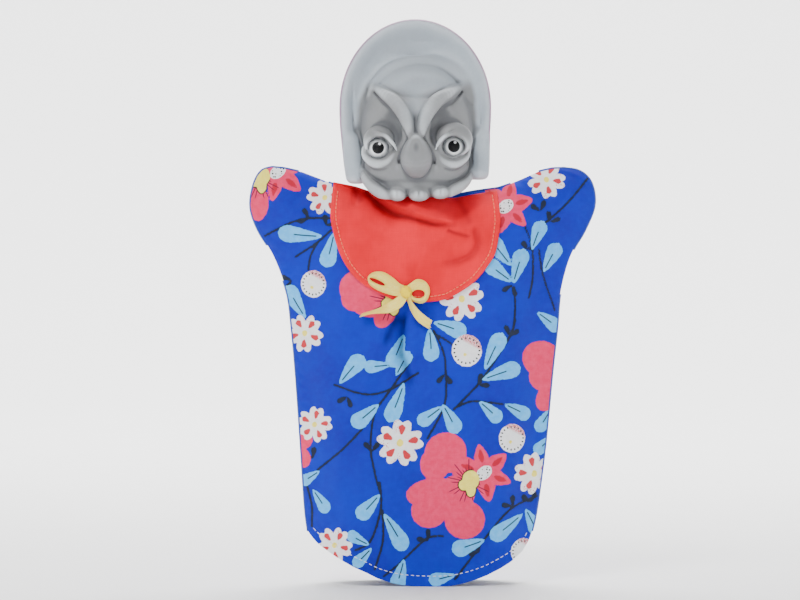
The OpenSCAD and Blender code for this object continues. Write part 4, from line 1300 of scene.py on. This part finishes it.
# ---------------------------------------------------------------- gathered neck of the glove
def build_neck():
    """The gathered cloth between the glove's top and the cord, a curve from low over ring to top."""
    pleats, n, m = 30, 420, 26
    low_z, ring_r, ring_z, top_r, top_z = 190.6, 16.6, 193.0, 16.9, 197.0
    th = np.linspace(0, math.tau, n + 1)
    v = np.linspace(0, 1, m)
    x = 18.6 * np.cos(th)
    line = np.stack([x, 192.0 + 0 * x], -1)
    h = np.where(np.sin(th) > 0, depth_at(line, 1), depth_at(line, -1))
    y = np.sign(np.sin(th)) * np.maximum(h - 1.4, 0) * np.minimum(1, np.abs(np.sin(th)) * 6)
    low = np.stack([x, y, low_z + 0 * x], -1)
    ring = np.stack([ring_r * np.cos(th), ring_r * np.sin(th), ring_z + 0 * th], -1)
    top = np.stack([top_r * np.cos(th), top_r * np.sin(th), top_z + 0.5 * np.sin(5 * th)], -1)
    s = v[:, None, None]
    g = (1 - s) ** 2 * low + 2 * s * (1 - s) * ring + s**2 * top
    out = np.stack([np.cos(th), np.sin(th), 0 * th], -1)
    wob = np.sin(pleats * th + 1.6 * np.sin(3 * th)) * (0.35 + 0.55 * v[:, None])
    g = g + out * (wob[..., None] * 0.7)
    inner = g - out * 0.8 - np.array([0, 0, 0.1])
    mask = np.ones((m - 1, n), bool)
    flat = np.stack([th * 26 + 0 * s[..., 0], v[:, None] * 12 + 0 * th], -1)
    obj = sheet_mesh("gathered_neck_cloth", g, inner, mask, NECK_CLOTH,
                     {"flat": np.concatenate([flat, 0 * flat[..., :1]], -1)})
    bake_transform(obj)
    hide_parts("neck_casing")


NECK_CLOTH = cotton_material("blue_cotton", rgb(0.004, 0.030, 0.400), rgb(0.013, 0.018, 0.330), 0.42)
build_neck()
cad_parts["neck_cord"].data.materials.clear()
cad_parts["neck_cord"].data.materials.append(CORD_MAT)


# ---------------------------------------------------------------- bib
BIB_LEFT = [(-12, 141.8), (-25.5, 148.8), (-33, 156), (-38, 165), (-41.3, 176), (-42.5, 185), (-41.2, 200.4)]
BIB_RIGHT = [(15.6, 142.1), (22.3, 145.8), (29.6, 151.2), (35, 157.9), (39.2, 165.1), (41.4, 177.3),
             (41.7, 183.3), (40.4, 196.2)]
BIB_BOTTOM = [(-12, 141.8), (-6, 140.9), (2, 140.4), (6.5, 140.5), (11, 141), (15.6, 142.1)]
BIB_TOP = [(-41.2, 200.4), (-30, 198.2), (-22, 195.4), (-14, 193.4), (-8, 192.8), (0, 192.5),
           (10, 192.3), (19, 192.4), (30, 194.4), (40.4, 196.2)]


def ridge(p, line, height, width, skew=0.0):
    """A ridge (a valley with height < 0) along a smooth line, steeper on one side, that fades at its ends."""
    c = along(line, np.linspace(0, 1, 8 * len(line)))
    best = np.full(p.shape[:-1], 1e9)
    sign, share = np.zeros(p.shape[:-1]), np.zeros(p.shape[:-1])
    n = len(c) - 1
    for k in range(n):
        d = c[k + 1] - c[k]
        t = ((p - c[k]) @ d) / max(d @ d, 1e-9)
        tc = np.clip(t, 0, 1)
        q = p - c[k] - tc[..., None] * d
        r = np.hypot(q[..., 0], q[..., 1])
        take = r < best
        best = np.where(take, r, best)
        sign = np.where(take, np.sign(d[0] * q[..., 1] - d[1] * q[..., 0]), sign)
        share = np.where(take, (k + t) / n, share)
    w = width * np.where(sign > 0, 1 + skew, 1 - skew)
    near = height * np.exp(-(best / w) ** 2)
    return near * smoothstep((share + 0.1) / 0.22) * smoothstep((1.1 - share) / 0.3)


# Folds of the bib: points of the line, height (a valley when negative), width and skew
BIB_FOLDS = [
    ([(-27, 198.5), (-21, 195.5), (-14, 191.6), (-9.2, 188.6), (0.5, 184.6), (9.6, 182.0), (18, 181.4)],
     4.6, 3.9, 0.5),
    ([(-25.6, 197.9), (-21.9, 192.4), (-16.5, 187.6), (-10.4, 183.9), (-3.2, 182.1), (3.5, 180.3),
      (10.2, 178.8), (18.6, 178.5)], -2.0, 1.5, -0.2),
    ([(-30, 190), (-24, 184), (-14, 178.5), (-4, 176), (8, 174)], 1.0, 4.0),
    ([(15.5, 176.2), (20, 174.6), (26, 173.2)], -1.1, 1.6),
    ([(15, 179.4), (22, 177.6), (29, 177)], 0.8, 2.2),
    ([(28.9, 176), (30.2, 169.4), (26.8, 163.7), (20.5, 160.9), (13.4, 159.5)], -0.9, 1.6, 0.3),
    ([(32, 177), (33.4, 168.4), (29.2, 160.7), (21.5, 157.6), (13.4, 156.5)], 0.8, 2.4),
    ([(-29, 199), (-30.5, 194), (-30, 188)], -0.9, 1.6),
    ([(-36, 182), (-31, 168), (-22, 157)], 0.5, 4.0),
    ([(-6, 170), (-5, 160), (-5, 150)], 0.7, 3.0),
    ([(4, 168), (1, 158), (-2, 151)], -0.5, 2.0),
]
# Shaded creases between the folds: points of the line, depth of shade and width
BIB_CREASES = [
    ([(-27, 198), (-21.9, 192.0), (-16.5, 187.2), (-10.4, 183.7), (-3.2, 181.9), (3.5, 180.1),
      (10.2, 178.6), (19, 178.2)], 1.0, 1.25),
    ([(15.5, 176.0), (20, 174.4), (26.5, 172.8)], 0.75, 0.9),
    ([(28.6, 177), (30.4, 169.4), (26.8, 163.5), (20.5, 160.7), (13, 159.3)], 0.5, 2.2),
    ([(-30, 200), (-30, 195), (-27, 190)], 0.55, 2.0),
    ([(-22, 190), (-12, 186), (0, 183.5)], 0.3, 3.0),
    ([(20, 193), (24, 186), (27, 179)], 0.35, 1.8),
    ([(-20, 192.5), (0, 191.6), (20, 191.4)], 0.5, 1.6),
]


def bib_lift(p):
    """Height of the bib's outer face above the glove's surface."""
    w = sum(ridge(p, *fold) for fold in BIB_FOLDS)
    w = w + 0.35 * wave(p, 20, 41) + 0.12 * wave(p, 7, 43)
    under_chin = np.exp(-(p[..., 0] / 19) ** 2 - ((p[..., 1] - 196.5) / 4.5) ** 2)
    return 1.75 + np.maximum(w * (1 - 0.75 * under_chin), -0.75)


def bib_shade(p):
    # Painted shade along the bib's creases, 0 to 1
    s = sum(ridge(p, *crease) for crease in BIB_CREASES)
    return np.stack([np.clip(s, 0, 1)] * 3, -1)


def build_bib():
    n, m = 150, 120
    u, v = np.meshgrid(np.linspace(0, 1, n + 1), even(BIB_LEFT, m + 1))
    flat = patch(BIB_LEFT, BIB_RIGHT, BIB_BOTTOM, BIB_TOP, u, v)
    rim = np.min([to_chain(flat, along(c, np.linspace(0, 1, 60)))
                  for c in (BIB_LEFT, BIB_RIGHT, BIB_BOTTOM)], axis=0)
    lift = bib_lift(flat) - 0.35 * np.exp(-((rim - 2.7) / 0.55) ** 2)
    lift = lift - 0.5 * np.clip(1 - rim, 0, 1) ** 2
    lift = lift + 0.12 * np.sin(3.1 * (flat[..., 0] + flat[..., 1])) * np.exp(-((rim - 2.4) / 1.4) ** 2)
    h = depth_at(flat, -1)
    outer = np.stack([flat[..., 0], -(h + lift), flat[..., 1]], -1)
    inner = np.stack([flat[..., 0], -(h + np.maximum(lift - 1.0, 0.12)), flat[..., 1]], -1)
    mask = np.ones((m, n), bool)
    obj = sheet_mesh("bib_cloth", outer, inner, mask, RED,
                     {"flat": np.concatenate([flat, rim[..., None]], -1), "shade": bib_shade(flat)})
    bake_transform(obj)
    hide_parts("bib")
    centre = np.array([0, 172.0])

    def inset(chain):
        c = along(chain, np.linspace(0, 1, 40))
        t = np.gradient(c, axis=0)
        nrm = np.stack([-t[:, 1], t[:, 0]], -1) / np.linalg.norm(t, axis=1, keepdims=True)
        nrm *= np.sign(((centre - c) * nrm).sum(1, keepdims=True))
        return c + nrm * 2.7

    line = np.concatenate([inset(BIB_LEFT)[::-1], inset(BIB_BOTTOM)[4:-4], inset(BIB_RIGHT)])
    line = [tuple(q) for q in line if q[1] < 196.4]
    stitches("bib_stitches", line, -1, lambda q: bib_lift(q) - 0.3, 2.0, 0.7, 0.28, RED_THREAD,
             "bib_stitching", "torso")


build_bib()


# ---------------------------------------------------------------- bow
def front_y(x, z, lift):
    p = np.stack([np.asarray(x, float), np.asarray(z, float)], -1)
    return -(depth_at(p, -1) + 1.9 + lift)


def closed_curve(points, count):
    """A smooth closed curve through points."""
    pts = np.array(points, float)
    n = len(pts)
    s = np.linspace(0, n, count)
    i = np.floor(s).astype(int)
    f = (s - i)[:, None]
    a, b, c, d = (pts[(i + k) % n] for k in (-1, 0, 1, 2))
    return 0.5 * (2 * b + (c - a) * f + (2 * a - 5 * b + 4 * c - d) * f**2 + (3 * b - a - 3 * c + d) * f**3)


def ribbon_piece(name, outer, node, flat):
    """A thin ribbon over a grid of points, 0.4 mm thick."""
    nrm = grid_normals(outer)
    if nrm[..., 1].mean() > 0:
        outer, flat = outer[:, ::-1], flat[:, ::-1]
        nrm = grid_normals(outer)
    inner = outer - nrm * 0.4
    mask = np.ones((outer.shape[0] - 1, outer.shape[1] - 1), bool)
    obj = sheet_mesh(name, outer, inner, mask, RIBBON,
                     {"flat": np.concatenate([flat, 0 * flat[..., :1]], -1)})
    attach(obj, "torso")
    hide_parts(node)


def bow_loop(name, node, outline, hole, size, turn, knot, lift):
    """A loop of ribbon that shows its face: from the slit in its middle to its outline, puffed up."""
    n, m = 120, 22
    edge = closed_curve(outline, n + 1)
    start = math.atan2(edge[0, 1] - hole[1], edge[0, 0] - hole[0]) - math.radians(turn)
    way = np.sign(np.cross(edge[1] - edge[0], np.array(hole) - edge[0]))
    a = start + way * np.linspace(0, math.tau, n + 1)
    q = np.stack([size[0] * np.cos(a), size[1] * np.sin(a)], -1)
    c, s = math.cos(math.radians(turn)), math.sin(math.radians(turn))
    slit = np.array(hole) + np.stack([q[:, 0] * c - q[:, 1] * s, q[:, 0] * s + q[:, 1] * c], -1)
    v = np.linspace(0, 1, m)[:, None]
    flat = slit[None] * (1 - v[..., None]) + edge[None] * v[..., None]
    away = np.linalg.norm(flat - np.array(knot), axis=-1)
    puff = np.sin(np.pi * np.clip(v * 0.86 + 0.14, 0, 1)) * 2.0 * smoothstep(away / 9)
    angle = np.arctan2(flat[..., 1] - knot[1], flat[..., 0] - knot[0])
    crease = 0.4 * np.sin(angle * 13 + 1.0) * np.exp(-away / 5.5)
    y = front_y(flat[..., 0], flat[..., 1], lift + puff + crease + 0.12 * wave(flat, 3.5, 51))
    along_edge = np.linspace(0, 1, n + 1)[None] * 40 + 0 * v
    ribbon_piece(name, np.stack([flat[..., 0], y, flat[..., 1]], -1), node,
                 np.stack([(v - 0.5) * 4.6 + 0 * along_edge, along_edge], -1))


def bow_tail(name, node, line, widths, lifts, twist, fray=0.0):
    """A tail of ribbon along a line, with its width and its tilt about the line at each point."""
    n, m = 90, 14
    t = np.linspace(0, 1, n)
    c = along(line, t)
    wid, lf, tw = (np.interp(t, np.linspace(0, 1, len(k)), k) for k in (widths, lifts, twist))
    d = np.gradient(c, axis=0)
    nrm = np.stack([-d[:, 1], d[:, 0]], -1) / np.linalg.norm(d, axis=1, keepdims=True)
    s = np.linspace(-0.5, 0.5, m)
    if fray:
        rng = np.random.default_rng(8)
        ends = fray * rng.uniform(-1, 0.6, m)
    else:
        ends = 1.6 * s
    pos = c[:, None] + nrm[:, None] * (wid[:, None] * s * np.cos(np.radians(tw))[:, None])[..., None]
    last = smoothstep((t - 0.86) / 0.14)[:, None, None]
    pos = pos + last * (d / np.linalg.norm(d, axis=1, keepdims=True))[:, None] * ends[None, :, None]
    rise = lf[:, None] + wid[:, None] * s * np.sin(np.radians(tw))[:, None] + 0.25 * np.cos(s * np.pi)[None]
    y = front_y(pos[..., 0], pos[..., 1], rise)
    length = np.concatenate([[0], np.cumsum(np.linalg.norm(np.diff(c, axis=0), axis=1))])
    ribbon_piece(name, np.stack([pos[..., 0], y, pos[..., 1]], -1), node,
                 np.stack([s[None] * 4.6 + 0 * length[:, None], length[:, None] + 0 * s], -1))


KNOT = (-5.0, 145.4)
bow_loop("bow_left_loop_ribbon", "bow_left_loop",
         [(-5.2, 147.8), (-8, 149.6), (-12, 153.0), (-16.5, 155.4), (-21, 155.3), (-23.8, 153),
          (-23.4, 149.6), (-20.7, 147.2), (-17, 145.4), (-13.4, 144.2), (-9.5, 143.4), (-5.2, 143.4)], (-19.2,
                  150.5), (4.1, 0.95), -25, KNOT, 0.9)
bow_loop("bow_right_loop_ribbon", "bow_right_loop",
         [(-5.0, 147.6), (-2, 150.4), (0.5, 151.8), (3.6, 151.2), (5.8, 149.2), (6.8, 146.4), (6.2, 143),
          (4.6, 140.6),
          (2.3, 139.7), (-0.6, 140.4), (-2.8, 142), (-5.0, 143.4)], (1.0, 144.5), (3.2, 2.1), 0, KNOT, 1.1)
bow_tail("bow_left_tail_ribbon", "bow_left_tail",
         [(-5.5, 144), (-8.6, 140.4), (-13.0, 137.8), (-18, 136.4), (-22.6, 135.5), (-27.4, 134.1)],
         [3.4, 5.4, 5.6, 4.6, 3.6, 3.0], [1.4, 1.4, 1.8, 2.0, 1.6, 1.0], [20, 10, 25, 55, 70, 68])
bow_tail("bow_right_tail_ribbon", "bow_right_tail",
         [(-4.4, 144), (-3.0, 139.8), (-0.6, 135.8), (2.8, 132.2), (7.4, 129.0)],
         [3.6, 4.4, 4.6, 4.8, 4.8], [1.0, 1.2, 1.7, 1.5, 0.9], [60, 62, 40, 15, 20], fray=1.3)


def build_knot():
    n, m = 40, 30
    th, ph = np.meshgrid(np.linspace(0, math.tau, n + 1)[:-1], np.linspace(0.02, math.pi - 0.02, m))
    r = 1 + 0.07 * np.sin(5 * th + 2 * np.cos(ph)) + 0.05 * np.sin(9 * ph)
    x = KNOT[0] + 2.7 * r * np.cos(th) * np.sin(ph)
    y0 = float(front_y(KNOT[0], KNOT[1], 2.0))
    pts = np.stack([x, y0 + 2.3 * r * np.sin(th) * np.sin(ph), KNOT[1] + 2.9 * r * np.cos(ph)], -1)
    faces = ring_quads(m, n)
    faces += [tuple(range(n)), tuple((m - 1) * n + k for k in reversed(range(n)))]
    obj = mesh_object("bow_knot_ribbon", pts.reshape(-1, 3), faces, KNOT_MAT)
    point_vector(obj.data, "flat", np.stack([2.7 * th, 2.9 * ph, 0 * th], -1).reshape(-1, 3))
    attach(obj, "torso")
    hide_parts("bow_knot")


build_knot()


# ---------------------------------------------------------------- floor, light, camera
def plain_material(name, colour, rough):
    m = Nodes(name)
    n = m.noise(m.coords(), 9.0, 3.0)
    m.put(m.mix(n, rgb(*colour), rgb(*[c * 0.97 for c in colour])), m.bsdf.inputs["Base Color"])
    m.bsdf.inputs["Roughness"].default_value = rough
    return m.mat


def backdrop():
    """A round floor that curves up into a wall all around."""
    n, floor_r, fillet, height = 64, 2000, 600, 3000
    prof = [(floor_r + fillet * math.sin(a), fillet - fillet * math.cos(a))
            for a in np.linspace(0, math.pi / 2, 14)]
    prof += [(floor_r + fillet, height)]
    turns = [k * math.tau / n for k in range(n)]
    pts = [(r * math.cos(a), r * math.sin(a), z) for r, z in prof for a in turns]
    faces = [tuple(range(n))] + ring_quads(len(prof), n)
    o = mesh_object("backdrop", pts, faces, plain_material("backdrop_paint", (0.93, 0.93, 0.93), 0.9))


def area_light(name, place, target, size, power, colour=(1, 1, 1)):
    light = bpy.data.lights.new(name, "AREA")
    light.shape = "SQUARE"
    light.size = size
    light.energy = power
    light.color = colour
    o = bpy.data.objects.new(name, light)
    o.location = place
    o.rotation_euler = (Vector(target) - Vector(place)).to_track_quat("-Z", "Y").to_euler()
    bpy.context.collection.objects.link(o)


backdrop()
area_light("key", (-0.45, -1.0, 1.25), (0, 0, 0.15), 0.45, 17.0)
area_light("fill", (0.9, -1.0, 0.5), (0, 0, 0.14), 0.8, 1.4)
area_light("rim", (0.25, 0.9, 1.0), (0, 0, 0.2), 0.5, 3.0)
area_light("wall", (0, 1.3, 2.2), (0, 2.6, 0.25), 2.0, 160.0)
world = bpy.data.worlds.new("studio")
world.use_nodes = True
world.node_tree.nodes["Background"].inputs[0].default_value = (0.92, 0.95, 1.0, 1.0)
world.node_tree.nodes["Background"].inputs[1].default_value = 0.03
bpy.context.scene.world = world

camera = bpy.data.cameras.new("camera")
camera.sensor_width = 36
camera.lens = 144
cam = bpy.data.objects.new("camera", camera)
cam.location = (-0.008, -1.6, 0.1415)
cam.rotation_euler = (math.pi / 2, 0, 0)
bpy.context.collection.objects.link(cam)
bpy.context.scene.camera = cam
